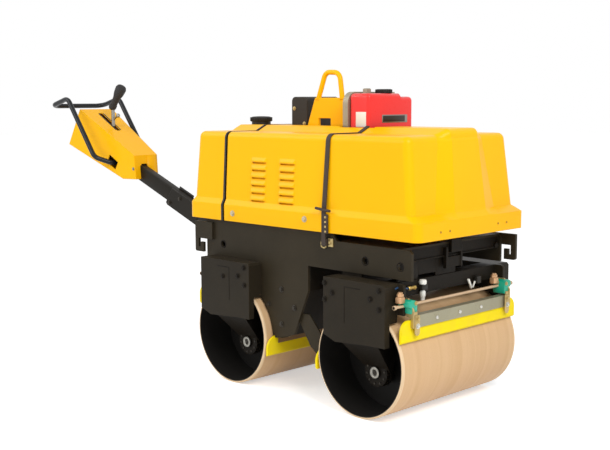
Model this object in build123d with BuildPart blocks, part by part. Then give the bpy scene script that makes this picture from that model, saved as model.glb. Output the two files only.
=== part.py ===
from build123d import *
from math import cos, radians, sin
import os

os.makedirs("parts", exist_ok=True)

# Walk-behind double-drum compaction roller. Millimetres, +X forward, +Y to the left, +Z up.
# The origin is on the ground under the middle of the whole roller. Lengths along X are measured
# from the point midway between the two drums, which lies `mid_x` ahead of the origin.

# ---- driving dimensions -------------------------------------------------------------------
wheelbase = 724.0             # between the drum axles
drum_radius = 212.5
drum_width = 700.0
drum_wall = 10.0
drum_end_inset = 168.0        # drum's end disc, in from its rim
drum_disc = 12.0
axle_radius = 25.0
axle_gap = 0.08               # running clearance on the axle
running_gap = 6.0             # frame plates stay this far off the rolling surface

hood_front = 620.0            # hood's foremost edge, ahead of the middle
hood_rear = 655.0             # hood's rearmost edge, behind the middle
hood_half = 328.0             # half width over the skirt
hood_base = 678.0             # underside of the skirt
skirt_top = 745.0             # the skirt is upright to here
waist = skirt_top + 23.0      # and has drawn in to the body here
shoulder = 1048.0             # top of the side shoulders
crown = 1072.0                # top of the raised middle
hood_wall = 5.0
seam_rear = -426.0            # joint between rear and middle covers
seam_front = 162.0            # joint between middle and front covers
cover_gap = 2.0               # open joint between two covers
rear_gap = 8.0                # wider joint at the rear seam, closed by a rubber seal

plate_outer = 312.0           # outer face of the side frames
plate_wall = 12.0
frame_rear = 556.0
beam_top = 677.7
beam_step = (190.0, 214.0)    # the beam's top slopes down between these
beam_step_top = 647.0         # and its front stretch is lower
beam_base = 537.0
deck_top = 646.0
deck_wall = 8.0

case_reach = 32.0             # outer face of the drum cases, beyond the drum's end
case_half = 152.0             # half length of a drum case
case_top = 522.0
case_wall = 8.0

blade_wall = 10.0             # scraper blades
blade_gap = 5.0               # a blade's edge stays this far off the drum
inner_blade = (148.0, 228.0)  # lower and upper edge
outer_blade = (312.0, 394.0)

handle_angle = 20.8           # drawbar's rise to the rear, degrees
pivot_back = 700.0            # handle's hinge pin, behind the middle
pivot_height = 544.0
pin_radius = 14.0
pin_gap = 0.1
handle_reach = 2044.0         # rearmost point of the grips, behind the middle

mid_x = (handle_reach - hood_front) / 2
plate_inner = plate_outer - plate_wall
half_base = wheelbase / 2
half_width = drum_width / 2
case_outer = half_width + case_reach

# Working planes. side: X forward, Z up, looking from the right; offset moves to the right.
# cross: Y to the left, Z up; offset moves forward. flat: seen from above; offset moves up.
side = Plane(origin=(mid_x, 0, 0), x_dir=(1, 0, 0), z_dir=(0, -1, 0))
cross = Plane(origin=(mid_x, 0, 0), x_dir=(0, 1, 0), z_dir=(1, 0, 0))
flat = Plane(origin=(mid_x, 0, 0), x_dir=(1, 0, 0), z_dir=(0, 0, 1))


# ---- drums --------------------------------------------------------------------------------
hub_radius = 48.0
hub_reach = 34.0              # hub's length, outward from the disc
rim_bevel = 4.0
drum_places = {"rear_drum": -half_base, "front_drum": half_base}

for drum_name, drum_x in drum_places.items():
    axle = Plane(origin=(mid_x + drum_x, 0, drum_radius), x_dir=(1, 0, 0), z_dir=(0, -1, 0))
    disc_out = half_width - drum_end_inset
    with BuildPart() as drum:
        with BuildSketch(axle.offset(-half_width)):
            Circle(drum_radius)
            Circle(drum_radius - drum_wall, mode=Mode.SUBTRACT)
        extrude(amount=drum_width)
        rims = drum.edges().filter_by(GeomType.CIRCLE).group_by(SortBy.RADIUS)[-1]
        chamfer(rims, rim_bevel)
        for inner in (disc_out - drum_disc, -disc_out):
            with BuildSketch(axle.offset(inner)):
                Circle(drum_radius - drum_wall)
                Circle(axle_radius + axle_gap, mode=Mode.SUBTRACT)
            extrude(amount=drum_disc)
        for inner in (disc_out, -disc_out - hub_reach):
            with BuildSketch(axle.offset(inner)):
                Circle(hub_radius)
                Circle(axle_radius + axle_gap, mode=Mode.SUBTRACT)
            extrude(amount=hub_reach)
    drum.part.label = drum_name
    export_step(drum.part, f"parts/{drum_name}.step")


# ---- side frames --------------------------------------------------------------------------
tongue_front = 59.0           # upright front edge of the tongue between the drums
tongue_knee = 436.0
tongue_foot = ((-20.0, 250.0), (-120.0, 222.0))
tongue_notch = 3.0            # tongue's foot keeps this far off the scraper's blade
heel_x = 512.0                # short leg behind the rear drum
heel_ends = (362.0, 455.0)    # its lower and upper end
heel_top = 500.0              # the frame's rear end comes down to here
hook_leg = 22.0               # tie-down hook
hook_slot = 12.0              # between its leg and its tip
hook_slit = 10.0              # way in, between its tip and the plate's end
hook_foot = 20.0
hook_rise = 22.0              # tip's rise above the foot
hook_mouth = 16.0             # clear height over the tip
hook_lap = 48.0               # its top lies over the plate
hook_round = 9.0
hole_radius = 13.0
corner = 12.0

# Each side frame: its name, its side (1 right, -1 left), its front end, the end that has the hook
# (-1 rear, 1 front), the hook's back, base and top, and the plate's holes.
frame_table = (
    ("right_side_frame", 1, 578.0, -1, (-621.0, 531.0, 662.0), ((-448, 575), (358, 588), (527, 584))),
    ("left_side_frame", -1, 527.0, 1, (591.0, 546.0, 649.0), ((-448, 575), (358, 588))),
)

for frame_name, facing, front_end, hook_way, (hook_back, hook_base, hook_top), holes in frame_table:
    plate_start = plate_inner if facing > 0 else -plate_outer
    hook_start = plate_outer if facing > 0 else -plate_outer - plate_wall
    hook_end = front_end if hook_way > 0 else -frame_rear
    leg_x = hook_back - hook_way * hook_leg
    tip_back = leg_x - hook_way * hook_slot
    tip_end = hook_end + hook_way * hook_slit
    lap_x = hook_end - hook_way * hook_lap
    foot_top = hook_base + hook_foot
    tip_top = foot_top + hook_rise
    notch_x = -half_base + drum_radius + blade_gap + blade_wall + tongue_notch
    with BuildPart() as side_frame:
        with BuildSketch(side.offset(plate_start)):
            with BuildLine():
                Polyline(
                    (-frame_rear, beam_top),
                    (beam_step[0], beam_top),
                    (beam_step[1], beam_step_top),
                    (front_end - corner, beam_step_top),
                    (front_end, beam_step_top - corner),
                    (front_end, beam_base),
                    (tongue_front, beam_base),
                    (tongue_front, tongue_knee),
                    *tongue_foot,
                    (notch_x, tongue_foot[1][1]),
                    (notch_x, inner_blade[1] + tongue_notch),
                    (-half_base, inner_blade[1] + tongue_notch),
                    (-heel_x, heel_ends[0]),
                    (-heel_x, heel_ends[1]),
                    (-frame_rear, heel_top),
                    close=True,
                )
            make_face()
            with Locations((-half_base, drum_radius)):
                Circle(drum_radius + running_gap, mode=Mode.SUBTRACT)
            with Locations(*holes):
                Circle(hole_radius, mode=Mode.SUBTRACT)
        extrude(amount=plate_wall)
        with BuildSketch(side.offset(hook_start)) as hook:
            with BuildLine():
                Polyline(
                    (hook_back, hook_top), (hook_back, hook_base), (tip_end, hook_base),
                    (tip_end, tip_top), (tip_back, tip_top), (tip_back, foot_top),
                    (leg_x, foot_top), (leg_x, tip_top + hook_mouth),
                    (lap_x, tip_top + hook_mouth), (lap_x, hook_top),
                    close=True,
                )
            make_face()
            lowest = hook.vertices().group_by(Axis.Y)[0].sort_by(Axis.X)
            fillet(lowest[-1] if hook_way > 0 else lowest[0], hook_round)
        extrude(amount=plate_wall)
    side_frame.part.label = frame_name
    export_step(side_frame.part, f"parts/{frame_name}.step")


# ---- deck and cross members ---------------------------------------------------------------
deck_gap = 0.2                # deck and cross members between the side frames
beam_x = 540.0                # rear cross plate's front face, behind the middle
beam_wall = 10.0
web_x = 505.0                 # front cross member's rear face
web_base = 593.0
lip_reach = 6.0               # lip along the web's lower edge
lip_tall = 4.0
lip_half = 270.0
jaw_half = 50.0               # towing jaw in the middle of the web
jaw_reach = 15.0
jaw_ends = (548.0, 628.0)
jaw_plate = (551.0, 590.0)
jaw_inset = 2.0               # jaw's plate, in front of the web
block_ends = (-18.0, 46.0, 606.0, 655.0)       # block above the jaw: its sides, base and top
lug_ends = (-185.0, -82.0, 538.0, 610.0)       # plate behind the web: its sides, base and top
boss_place = (284.0, 602.0)
boss_radius = 12.5
boss_reach = 8.0

cross_half = plate_inner - deck_gap
deck_base = deck_top - deck_wall

with BuildPart() as deck:
    with BuildSketch(flat.offset(deck_base)):
        with Locations(((web_x - beam_x) / 2, 0)):
            Rectangle(web_x + beam_x + 2 * beam_wall, 2 * cross_half)
    extrude(amount=deck_wall)
deck.part.label = "engine_deck"
export_step(deck.part, "parts/engine_deck.step")


def slab(plane, left, right, low, high, depth):
    """Block that stands on a cross plane, between two sides and two heights."""
    with BuildPart() as form:
        with BuildSketch(plane):
            with Locations(((left + right) / 2, (low + high) / 2)):
                Rectangle(right - left, high - low)
        extrude(amount=depth)
    return form.part


with BuildPart() as front_beam:
    add(slab(cross.offset(web_x), -cross_half, cross_half, web_base, deck_base, beam_wall))
    web_face = web_x + beam_wall
    add(slab(cross.offset(web_face), -lip_half, lip_half, web_base, web_base + lip_tall, lip_reach))
    for edge in (-jaw_half, jaw_half - beam_wall):
        add(slab(cross.offset(web_face), edge, edge + beam_wall, *jaw_ends, jaw_reach))
    add(slab(cross.offset(web_face + jaw_inset), -jaw_half, jaw_half, *jaw_plate, beam_wall))
    add(slab(cross.offset(web_face), *block_ends, jaw_reach))
    add(slab(cross.offset(web_x - deck_wall), *lug_ends, deck_wall))
    with BuildSketch(cross.offset(web_face)):
        with Locations(boss_place):
            Circle(boss_radius)
    extrude(amount=boss_reach)
front_beam.part.label = "front_cross_member"
export_step(front_beam.part, "parts/front_cross_member.step")

plate_base = 470.0            # rear cross plate, narrower below its step
plate_step = 586.0
plate_half = 280.0
ear_gap = 92.0                # between the handle's two ears
ear_wall = 12.0
ear_round = 34.0
ear_root = (480.0, 618.0)     # the ears' lower and upper end on the plate

with BuildPart() as rear_beam:
    rear_face = -beam_x - beam_wall
    add(slab(cross.offset(rear_face), -cross_half, cross_half, plate_step, deck_base, beam_wall))
    add(slab(cross.offset(rear_face), -plate_half, plate_half, plate_base, plate_step, beam_wall))
    for start in (-ear_gap / 2 - ear_wall, ear_gap / 2):
        with BuildSketch(side.offset(start)):
            with BuildLine():
                Polyline(
                    (rear_face, ear_root[1]),
                    (-pivot_back, pivot_height + ear_round),
                    (-pivot_back, pivot_height - ear_round),
                    (rear_face, ear_root[0]),
                    close=True,
                )
            make_face()
            with Locations((-pivot_back, pivot_height)):
                Circle(ear_round)
                Circle(pin_radius, mode=Mode.SUBTRACT)
        extrude(amount=ear_wall)
rear_beam.part.label = "rear_cross_member"
export_step(rear_beam.part, "parts/rear_cross_member.step")

fold_wall = 8.0               # bent plate between the tongues, along their front edges
yoke_ends = (440.0, 505.0, 467.0, 522.0)       # channel over the front drum: its length and height

with BuildPart() as centre_plate:
    with BuildSketch(side.offset(-cross_half)):
        with BuildLine():
            Polyline((tongue_front, deck_base), (tongue_front, tongue_knee), tongue_foot[0])
            offset(amount=fold_wall, side=Side.RIGHT, kind=Kind.INTERSECTION)
        make_face()
    extrude(amount=2 * cross_half)
centre_plate.part.label = "centre_cross_plate"
export_step(centre_plate.part, "parts/centre_cross_plate.step")

with BuildPart() as yoke:
    yoke_rear, yoke_front, yoke_base, yoke_top = yoke_ends
    with BuildSketch(side.offset(-cross_half)):
        with BuildLine():
            Polyline(
                (yoke_rear, yoke_top), (yoke_front, yoke_top), (yoke_front, yoke_base),
                (yoke_rear, yoke_base), (yoke_rear, yoke_base + fold_wall),
                (yoke_front - fold_wall, yoke_base + fold_wall),
                (yoke_front - fold_wall, yoke_top - fold_wall), (yoke_rear, yoke_top - fold_wall),
                close=True,
            )
        make_face()
    extrude(amount=2 * cross_half)
yoke.part.label = "front_drum_yoke"
export_step(yoke.part, "parts/front_drum_yoke.step")


# ---- drum cases and arms ------------------------------------------------------------------
case_chamfer = 8.0
case_front = (70.0, 294.0)    # face's lower edge: length and height of its front stretch
case_low = (60.0, 282.0)      # length of its rear stretch, and height of the lowest corner
case_heel = 304.0             # height of its rear end
case_arch = 380.0             # the case's body comes down to here, around the drum
case_gap = 0.2                # case off the side frame's face
rim_gap = 5.0                 # case's end walls off the drum's end
neck_half = 105.0             # case's neck into the drum's mouth
neck_base = 306.0
neck_top = 366.0
arm_plane = 234.0             # outer face of the arm's end plate
arm_wall = 12.0
arm_half = 58.0
axle_over = 4.0               # the stub axle goes this far through the drum's disc
hub_drop = 55.0               # drive housing's centre, below the drum's axis
housing_radius = 55.0
housing_reach = 20.0
housing_nose = (23.0, 7.0)
carrier_ends = (-147.0, 181.0)           # plate in line with the side frame that a front case has
carrier_base = 408.0
carrier_round = 14.0
hanger_plane = 288.0          # inner face of the hanger behind the side frame's beam
hanger_ends = (-130.0, -32.0, 450.0, 600.0)    # its length and height
pipe_x = 540.0                # sprinkler pipe, ahead of the middle, and its height
pipe_z = 444.0
pipe_radius = 5.5
pipe_half = 363.0
pipe_gap = 0.2
drum_clear = drum_radius + running_gap
hub_z = drum_radius - hub_drop

# Each case: its name, the drum it carries, and its side of the roller (1 right, -1 left).
case_table = (
    ("rear_right", -half_base, 1), ("front_right", half_base, 1),
    ("rear_left", -half_base, -1), ("front_left", half_base, -1),
)
case_edge = (
    (-case_half, case_top), (case_half - case_chamfer, case_top),
    (case_half, case_top - case_chamfer), (case_half, case_front[1]),
    (case_half - case_front[0], case_front[1]), (case_low[0] - case_half, case_low[1]),
    (-case_half, case_heel),
)

for case_name, axle_x, facing in case_table:
    axle_side = Plane(origin=(mid_x + axle_x, 0, 0), x_dir=(1, 0, 0), z_dir=(0, -1, 0))
    with BuildPart() as case:
        with BuildSketch(axle_side.offset(plate_outer + case_gap)):
            with BuildLine():
                Polyline(*case_edge[:3], (case_half, case_arch), (-case_half, case_arch), close=True)
            make_face()
            with Locations((0, drum_radius)):
                Circle(drum_clear, mode=Mode.SUBTRACT)
        extrude(amount=case_outer - plate_outer - case_wall - case_gap)
        with BuildSketch(axle_side.offset(half_width + rim_gap)):
            with BuildLine():
                Polyline(*case_edge, close=True)
            make_face()
            with Locations((0, case_arch / 2)):
                Rectangle(2 * (case_half - case_wall), case_arch, mode=Mode.SUBTRACT)
        extrude(amount=case_reach - rim_gap)
        with BuildSketch(axle_side.offset(case_outer - case_wall)):
            with BuildLine():
                Polyline(*case_edge, close=True)
            make_face()
        extrude(amount=case_wall)
        if case_name.startswith("front"):
            with BuildSketch(axle_side.offset(plate_inner)) as carrier:
                with BuildLine():
                    Polyline(
                        (carrier_ends[0], case_top), (carrier_ends[1], case_top),
                        (carrier_ends[1], carrier_base), (carrier_ends[0], carrier_base),
                        close=True,
                    )
                make_face()
                fillet(carrier.vertices().group_by(Axis.Y)[-1].sort_by(Axis.X)[-1], carrier_round)
                with Locations((0, drum_radius)):
                    Circle(drum_clear, mode=Mode.SUBTRACT)
                with Locations((pipe_x - half_base, pipe_z)):
                    Circle(pipe_radius + pipe_gap, mode=Mode.SUBTRACT)
                with Locations((carrier_ends[1], pipe_z)):
                    slot_long = 2 * (carrier_ends[1] + half_base - pipe_x)
                    Rectangle(slot_long, 2 * (pipe_radius + pipe_gap), mode=Mode.SUBTRACT)
            extrude(amount=plate_wall + case_gap)
            rear_end, front_end, low, high = hanger_ends
            with BuildSketch(axle_side.offset(hanger_plane)):
                with Locations(((rear_end + front_end) / 2, (low + case_top) / 2)):
                    Rectangle(front_end - rear_end, case_top - low)
            extrude(amount=plate_inner - hanger_plane)
            with BuildSketch(axle_side.offset(hanger_plane)):
                with Locations(((rear_end + front_end) / 2, (high + case_top) / 2)):
                    Rectangle(front_end - rear_end, high - case_top)
            extrude(amount=plate_inner - case_gap - hanger_plane)
        if facing < 0:
            mirror(about=Plane.XZ, mode=Mode.REPLACE)
    case.part.label = f"{case_name}_drum_case"
    export_step(case.part, f"parts/{case_name}_drum_case.step")

    with BuildPart() as arm:
        with BuildSketch(axle_side.offset(case_outer - case_wall)):
            with Locations((0, (neck_base + neck_top) / 2)):
                Rectangle(2 * neck_half, neck_top - neck_base)
        with BuildSketch(axle_side.offset(arm_plane)):
            with Locations((0, (hub_z + neck_base) / 2)):
                Rectangle(2 * arm_half, neck_base - hub_z)
        loft()
        with BuildSketch(axle_side.offset(arm_plane - arm_wall)):
            with Locations((0, (hub_z + neck_base) / 2)):
                Rectangle(2 * arm_half, neck_base - hub_z)
            with Locations((0, hub_z)):
                Circle(arm_half)
        extrude(amount=arm_wall)
        with BuildSketch(axle_side.offset(arm_plane)):
            with Locations((0, hub_z)):
                Circle(housing_radius)
        extrude(amount=housing_reach)
        with BuildSketch(axle_side.offset(arm_plane + housing_reach)):
            with Locations((0, hub_z)):
                Circle(housing_nose[0])
        extrude(amount=housing_nose[1])
        axle_end = half_width - drum_end_inset - drum_disc - axle_over
        with BuildSketch(axle_side.offset(axle_end)):
            with Locations((0, drum_radius)):
                Circle(axle_radius)
        extrude(amount=arm_plane - arm_wall - axle_end)
        if facing < 0:
            mirror(about=Plane.XZ, mode=Mode.REPLACE)
    arm.part.label = f"{case_name}_drum_arm"
    export_step(arm.part, f"parts/{case_name}_drum_arm.step")


# ---- scrapers -----------------------------------------------------------------------------
blade_half = 350.0
blade_bevel = 6.0
bar_half = 293.5
bar_wall = 5.0
bar_tall = 45.0
bar_over = 14.0               # bar stands this far above the blade
bar_flange = 30.0
bracket_plane = 293.8         # inner face of the end brackets
bracket_wall = 6.0
seat_gap = 0.2                # between pieces bolted together
tab_wide = 25.0               # outer bracket's tab in front of the bar
tab_ends = (366.0, 424.0)
slope = (tongue_front - tongue_foot[0][0]) / (tongue_knee - tongue_foot[0][1])
fold_seat = [(tongue_foot[0][0] + slope * (z - tongue_foot[0][1]) + 2 * seat_gap, z) for z in (300.0, 340.0)]

# Each scraper: its name, its drum, the way it lies from that drum, its blade's edges, the round of
# the blade's ends, the way its bar's flange points, and its end bracket's outline, measured outward
# from the blade's outer face.
scraper_table = (
    (
        "front_outer", half_base, 1, outer_blade, 40.0, -1,
        ((-43, 472), (-12, 472), (14, 430), (14, 366), (0.6, 366), (0.6, 397), (-35, 420)),
    ),
    (
        "rear_outer", -half_base, -1, outer_blade, 40.0, -1,
        ((-43, 575), (-12, 575), (14, 430), (14, 366), (0.6, 366), (0.6, 397), (-35, 420)),
    ),
    (
        "rear_inner", -half_base, 1, inner_blade, 50.0, 1,
        ((25, 300), (95, 300), (75, 225), (20, 175), (0.6, 175), (0.6, 225)),
    ),
    (
        "front_inner", half_base, -1, inner_blade, 50.0, 1,
        ((25, 280), (80, 340), (0, 1), (0, 0), (75, 215), (20, 175), (0.6, 175), (0.6, 225)),
    ),
)

for scraper_name, axle_x, way, (low, high), end_round, flange_way, outline in scraper_table:
    nearest = min(max(low, drum_radius), high)
    reach = ((drum_radius + blade_gap) ** 2 - (nearest - drum_radius) ** 2) ** 0.5
    edge_x = axle_x + way * reach
    face_x = edge_x + way * blade_wall
    bar_x = face_x + way * (seat_gap + bar_wall / 2)
    bar_top = high + bar_over
    with BuildPart() as blade:
        with BuildSketch(cross.offset(edge_x)) as blade_face:
            with Locations((0, (low + high) / 2)):
                Rectangle(2 * blade_half, high - low)
            fillet(blade_face.vertices().group_by(Axis.Y)[-1], end_round)
        extrude(amount=way * blade_wall)
        lower = blade.edges().filter_by(Axis.Y).group_by(Axis.Z)[0].sort_by(Axis.X)
        chamfer(lower[-1] if way > 0 else lower[0], blade_bevel)
    blade.part.label = f"{scraper_name}_scraper_blade"
    export_step(blade.part, f"parts/{scraper_name}_scraper_blade.step")

    with BuildPart() as bar:
        with BuildSketch(side.offset(-bar_half)):
            with Locations((bar_x, bar_top - bar_tall / 2)):
                Rectangle(bar_wall, bar_tall)
            flange_x = bar_x + flange_way * way * (bar_flange - bar_wall) / 2
            with Locations((flange_x, bar_top - bar_wall / 2)):
                Rectangle(bar_flange, bar_wall)
        extrude(amount=2 * bar_half)
    bar.part.label = f"{scraper_name}_scraper_bar"
    export_step(bar.part, f"parts/{scraper_name}_scraper_bar.step")

    corners = [(face_x + way * out, z) for out, z in outline]
    if scraper_name == "front_inner":
        corners[2:4] = reversed(fold_seat)
    for side_name, start in (("right", bracket_plane), ("left", -bracket_plane - bracket_wall)):
        with BuildPart() as bracket:
            with BuildSketch(side.offset(start)):
                with BuildLine():
                    Polyline(*corners, close=True)
                make_face()
                with Locations((way * pipe_x, pipe_z)):
                    Circle(pipe_radius + pipe_gap, mode=Mode.SUBTRACT)
            extrude(amount=bracket_wall)
            if scraper_name.endswith("outer"):
                tab_start = bracket_plane + bracket_wall - tab_wide
                if start < 0:
                    tab_start = -bracket_plane - bracket_wall
                with BuildSketch(side.offset(tab_start)):
                    tab_x = face_x + way * (bar_wall + 2 * seat_gap + bracket_wall / 2)
                    with Locations((tab_x, (tab_ends[0] + tab_ends[1]) / 2)):
                        Rectangle(bracket_wall, tab_ends[1] - tab_ends[0])
                extrude(amount=tab_wide)
        bracket.part.label = f"{scraper_name}_{side_name}_bracket"
        export_step(bracket.part, f"parts/{scraper_name}_{side_name}_bracket.step")

for pipe_name, way in (("front_sprinkler_pipe", 1), ("rear_sprinkler_pipe", -1)):
    with BuildPart() as pipe:
        with BuildSketch(side.offset(-pipe_half)):
            with Locations((way * pipe_x, pipe_z)):
                Circle(pipe_radius)
        extrude(amount=2 * pipe_half)
    pipe.part.label = pipe_name
    export_step(pipe.part, f"parts/{pipe_name}.step")


# ---- hood ---------------------------------------------------------------------------------
draw_in = 12.0                # skirt to body, on each side
body_rear = 638.0             # body at the waist
body_front = 577.0            # front shoulder faces at the waist
top_half = 300.0              # body at the shoulder
top_rear = 622.0
top_front = 546.0
skirt_nose = 0.5              # the skirt's front is almost flat
skirt_front = hood_front - skirt_nose
nose = 24.0                   # the middle of the front stands out by this much
nose_half = 95.0              # half width of that middle at the waist, and over its slopes
nose_foot = 180.0
corner_round = 30.0
edge_round = 26.0             # round of the shoulder's edges
crown_half = 80.0             # the raised middle of the top, which runs on into the nose
crown_foot = 130.0
crown_round = 34.0            # ends of the raised middle
crown_inset = 2.0             # its front end stays this far behind the nose
lip_width = 60.0              # inward lip the covers stand on
lip_wall = 5.0
seal_reach = 14.0             # rubber seal behind the rear joint, either side of it
cover_top_opening = ((-366, -2), (-256, -2), (-256, -14), (12, -14), (12, -86), (200, -86),
                     (200, 214), (-366, 214))


def plan(rear, front, half, stand_out, middle, foot, inset):
    """Outline of the hood at one height, moved inward by `inset`."""
    half = half - inset
    front = front - inset
    points = (
        (-rear + inset, -half), (front, -half), (front, -foot), (front + stand_out, -middle),
        (front + stand_out, middle), (front, foot), (front, half), (-rear + inset, half),
    )
    with BuildSketch() as outline:
        with BuildLine():
            Polyline(*points, close=True)
        make_face()
        ends = outline.vertices().group_by(SortBy.DISTANCE)
        fillet(ShapeList(ends[-1] + ends[-2]), max(corner_round - inset, 5))
    return outline.sketch


def skirt_plan(inset):
    """Outline of the skirt."""
    return plan(hood_rear, skirt_front, hood_half, skirt_nose, nose_half, nose_foot, inset)


def hood_form(inset, base, taut=False):
    """Solid under the hood's surface, moved inward by `inset`, from the height `base`.

    A taut one runs straight from the skirt to the shoulder.
    """
    skirt = skirt_plan(inset)
    body = plan(body_rear, body_front, hood_half - draw_in, nose, nose_half, nose_foot, inset)
    top = plan(top_rear, top_front, top_half, nose, crown_half, crown_foot, inset)
    levels = [(base, skirt), (skirt_top, skirt), (waist, body), (shoulder - inset, top)]
    if taut:
        levels.pop(2)
    with BuildPart() as form:
        for (low_z, low_plan), (high_z, high_plan) in zip(levels, levels[1:]):
            with BuildSketch(flat.offset(low_z)):
                add(low_plan)
            with BuildSketch(flat.offset(high_z)):
                add(high_plan)
            loft(ruled=True)
        fillet(form.faces().sort_by(Axis.Z)[-1].edges(), edge_round - inset)
    foot = 2 * crown_foot - crown_half
    foot_z = 2 * shoulder - crown - inset
    with BuildPart() as raised:
        with BuildSketch(cross.offset(-top_rear + inset)):
            with BuildLine():
                Polyline(
                    (-crown_half, crown - inset), (-foot, foot_z), (-foot, waist + 100),
                    (foot, waist + 100), (foot, foot_z), (crown_half, crown - inset),
                    close=True,
                )
            make_face()
        extrude(amount=top_rear + top_front + nose - inset)
        with BuildSketch(flat.offset(waist)):
            add(plan(top_rear, top_front, top_half, nose, crown_half, crown_foot, inset + crown_inset))
        extrude(amount=crown, mode=Mode.INTERSECT)
        rear_edges = raised.faces().sort_by(Axis.X)[0].edges().filter_by(Axis.Z, reverse=True)
        fillet(rear_edges.sort_by(Axis.Z)[1:], crown_round - inset)
        front = mid_x + top_front - inset - 2 * crown_inset
        front_edges = [
            edge for edge in raised.edges().filter_by(Axis.Z, reverse=True)
            if edge.center().X > front and edge.center().Z > foot_z
        ]
        fillet(front_edges, edge_round - inset)
    return form.part + raised.part


with BuildPart() as shell:
    add(hood_form(0, hood_base) - hood_form(hood_wall, hood_base - 1))
    with BuildSketch(flat.offset(hood_base)):
        add(skirt_plan(hood_wall - 1))
        add(skirt_plan(lip_width), mode=Mode.SUBTRACT)
    extrude(amount=lip_wall)
    with BuildSketch(flat.offset(shoulder - 40)):
        with BuildLine():
            Polyline(*cover_top_opening, close=True)
        make_face()
    extrude(amount=crown - shoulder + 60, mode=Mode.SUBTRACT)

louvre_long = 90.0            # pressed louvres in the middle cover's sides
louvre_tall = 22.0
louvre_rise = 7.0
louvre_taper = 6.0            # its outer face is shorter by this much at each end
louvre_face = 6.0             # height of its outer face
louvre_slot = 5.0
louvre_columns = (-224.0, -58.0)
louvre_low = 762.0
louvre_pitch = 31.0
louvre_rows = 6

with BuildPart() as louvre:
    with BuildSketch(Plane.XY.offset(-1)):
        Rectangle(louvre_long, louvre_tall)
    with BuildSketch(Plane.XY.offset(louvre_rise)):
        with Locations((0, (louvre_face - louvre_tall) / 2 + 2)):
            Rectangle(louvre_long - 2 * louvre_taper, louvre_face)
    loft()
with BuildPart() as slot:
    with BuildSketch(Plane.XY.offset(-3 * hood_wall)):
        with Locations((0, -(louvre_tall + louvre_slot) / 2)):
            Rectangle(louvre_long - 2 * louvre_taper, louvre_slot)
    extrude(amount=6 * hood_wall)

louvres = []
slots = []
for facing in (-1, 1):
    wall = Plane(
        origin=(mid_x, facing * (hood_half - draw_in), waist),
        x_dir=(-facing, 0, 0),
        z_dir=(0, facing * (shoulder - waist), hood_half - draw_in - top_half),
    )
    for column in louvre_columns:
        for row in range(louvre_rows):
            spot = wall * Pos(-facing * column, louvre_low - waist + louvre_tall + row * louvre_pitch, 0)
            louvres.append(spot * louvre.part)
            slots.append(spot * slot.part)

covers = (
    ("hood_rear_cover", -hood_rear - 10, seam_rear - rear_gap / 2),
    ("hood_middle_cover", seam_rear + rear_gap / 2, seam_front - cover_gap / 2),
    ("hood_front_cover", seam_front + cover_gap / 2, hood_front + 10),
)
for cover_name, start, end in covers:
    with BuildPart() as cover:
        with BuildSketch(cross.offset(start)):
            with Locations((0, (hood_base + crown) / 2)):
                Rectangle(3 * hood_half, crown)
        extrude(amount=end - start)
        add(shell.part, mode=Mode.INTERSECT)
        if cover_name == "hood_middle_cover":
            add(louvres)
            add(slots, mode=Mode.SUBTRACT)
    cover.part.label = cover_name
    export_step(cover.part, f"parts/{cover_name}.step")

with BuildPart() as seal:
    add(hood_form(hood_wall + seat_gap, hood_base + 6) - hood_form(hood_wall + 5, hood_base))
    with BuildSketch(cross.offset(seam_rear - seal_reach)):
        with Locations((0, (hood_base + crown) / 2)):
            Rectangle(3 * hood_half, crown)
    extrude(amount=2 * seal_reach, mode=Mode.INTERSECT)
seal.part.label = "hood_seam_seal"
export_step(seal.part, "parts/hood_seam_seal.step")


# ---- hood straps and filler cap -----------------------------------------------------------
strap_half = 10.0             # half width of the strap, along X
strap_wall = 4.0
# Each strap: its name, the side it is on, and how far from the middle its upper end lies.
strap_table = (("right_hood_strap", -1, 80.0), ("left_hood_strap", 1, 226.0))
strap_base = hood_base - 38.0
anchor_half = (12.0, 12.0)    # half length and half height of the anchor on the side frame
cap_radius = 42.0
cap_height = 33.0
cap_back = 546.0

for strap_name, strap_way, strap_end in strap_table:
    with BuildPart() as strap:
        outside = hood_form(-strap_wall - seat_gap, strap_base, taut=True)
        add(outside - hood_form(-seat_gap, strap_base - 1, taut=True))
        with BuildSketch(cross.offset(seam_front - strap_half)):
            with Locations((strap_way * (strap_end + hood_half), (strap_base + crown) / 2)):
                Rectangle(2 * hood_half, crown)
        extrude(amount=2 * strap_half, mode=Mode.INTERSECT)
        with BuildSketch(cross.offset(seam_front - anchor_half[0])):
            with Locations((strap_way * (plate_outer + hood_half + strap_wall) / 2, strap_base)):
                Rectangle(hood_half - plate_outer + strap_wall - seat_gap, 2 * anchor_half[1])
        extrude(amount=2 * anchor_half[0])
    strap.part.label = strap_name
    export_step(strap.part, f"parts/{strap_name}.step")

with BuildPart() as cap:
    with BuildSketch(flat.offset(crown + seat_gap)):
        with Locations((-cap_back, 0)):
            Circle(cap_radius)
    extrude(amount=cap_height)
    chamfer(cap.faces().sort_by(Axis.Z)[-1].edges(), 4)
cap.part.label = "water_filler_cap"
export_step(cap.part, "parts/water_filler_cap.step")


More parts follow.
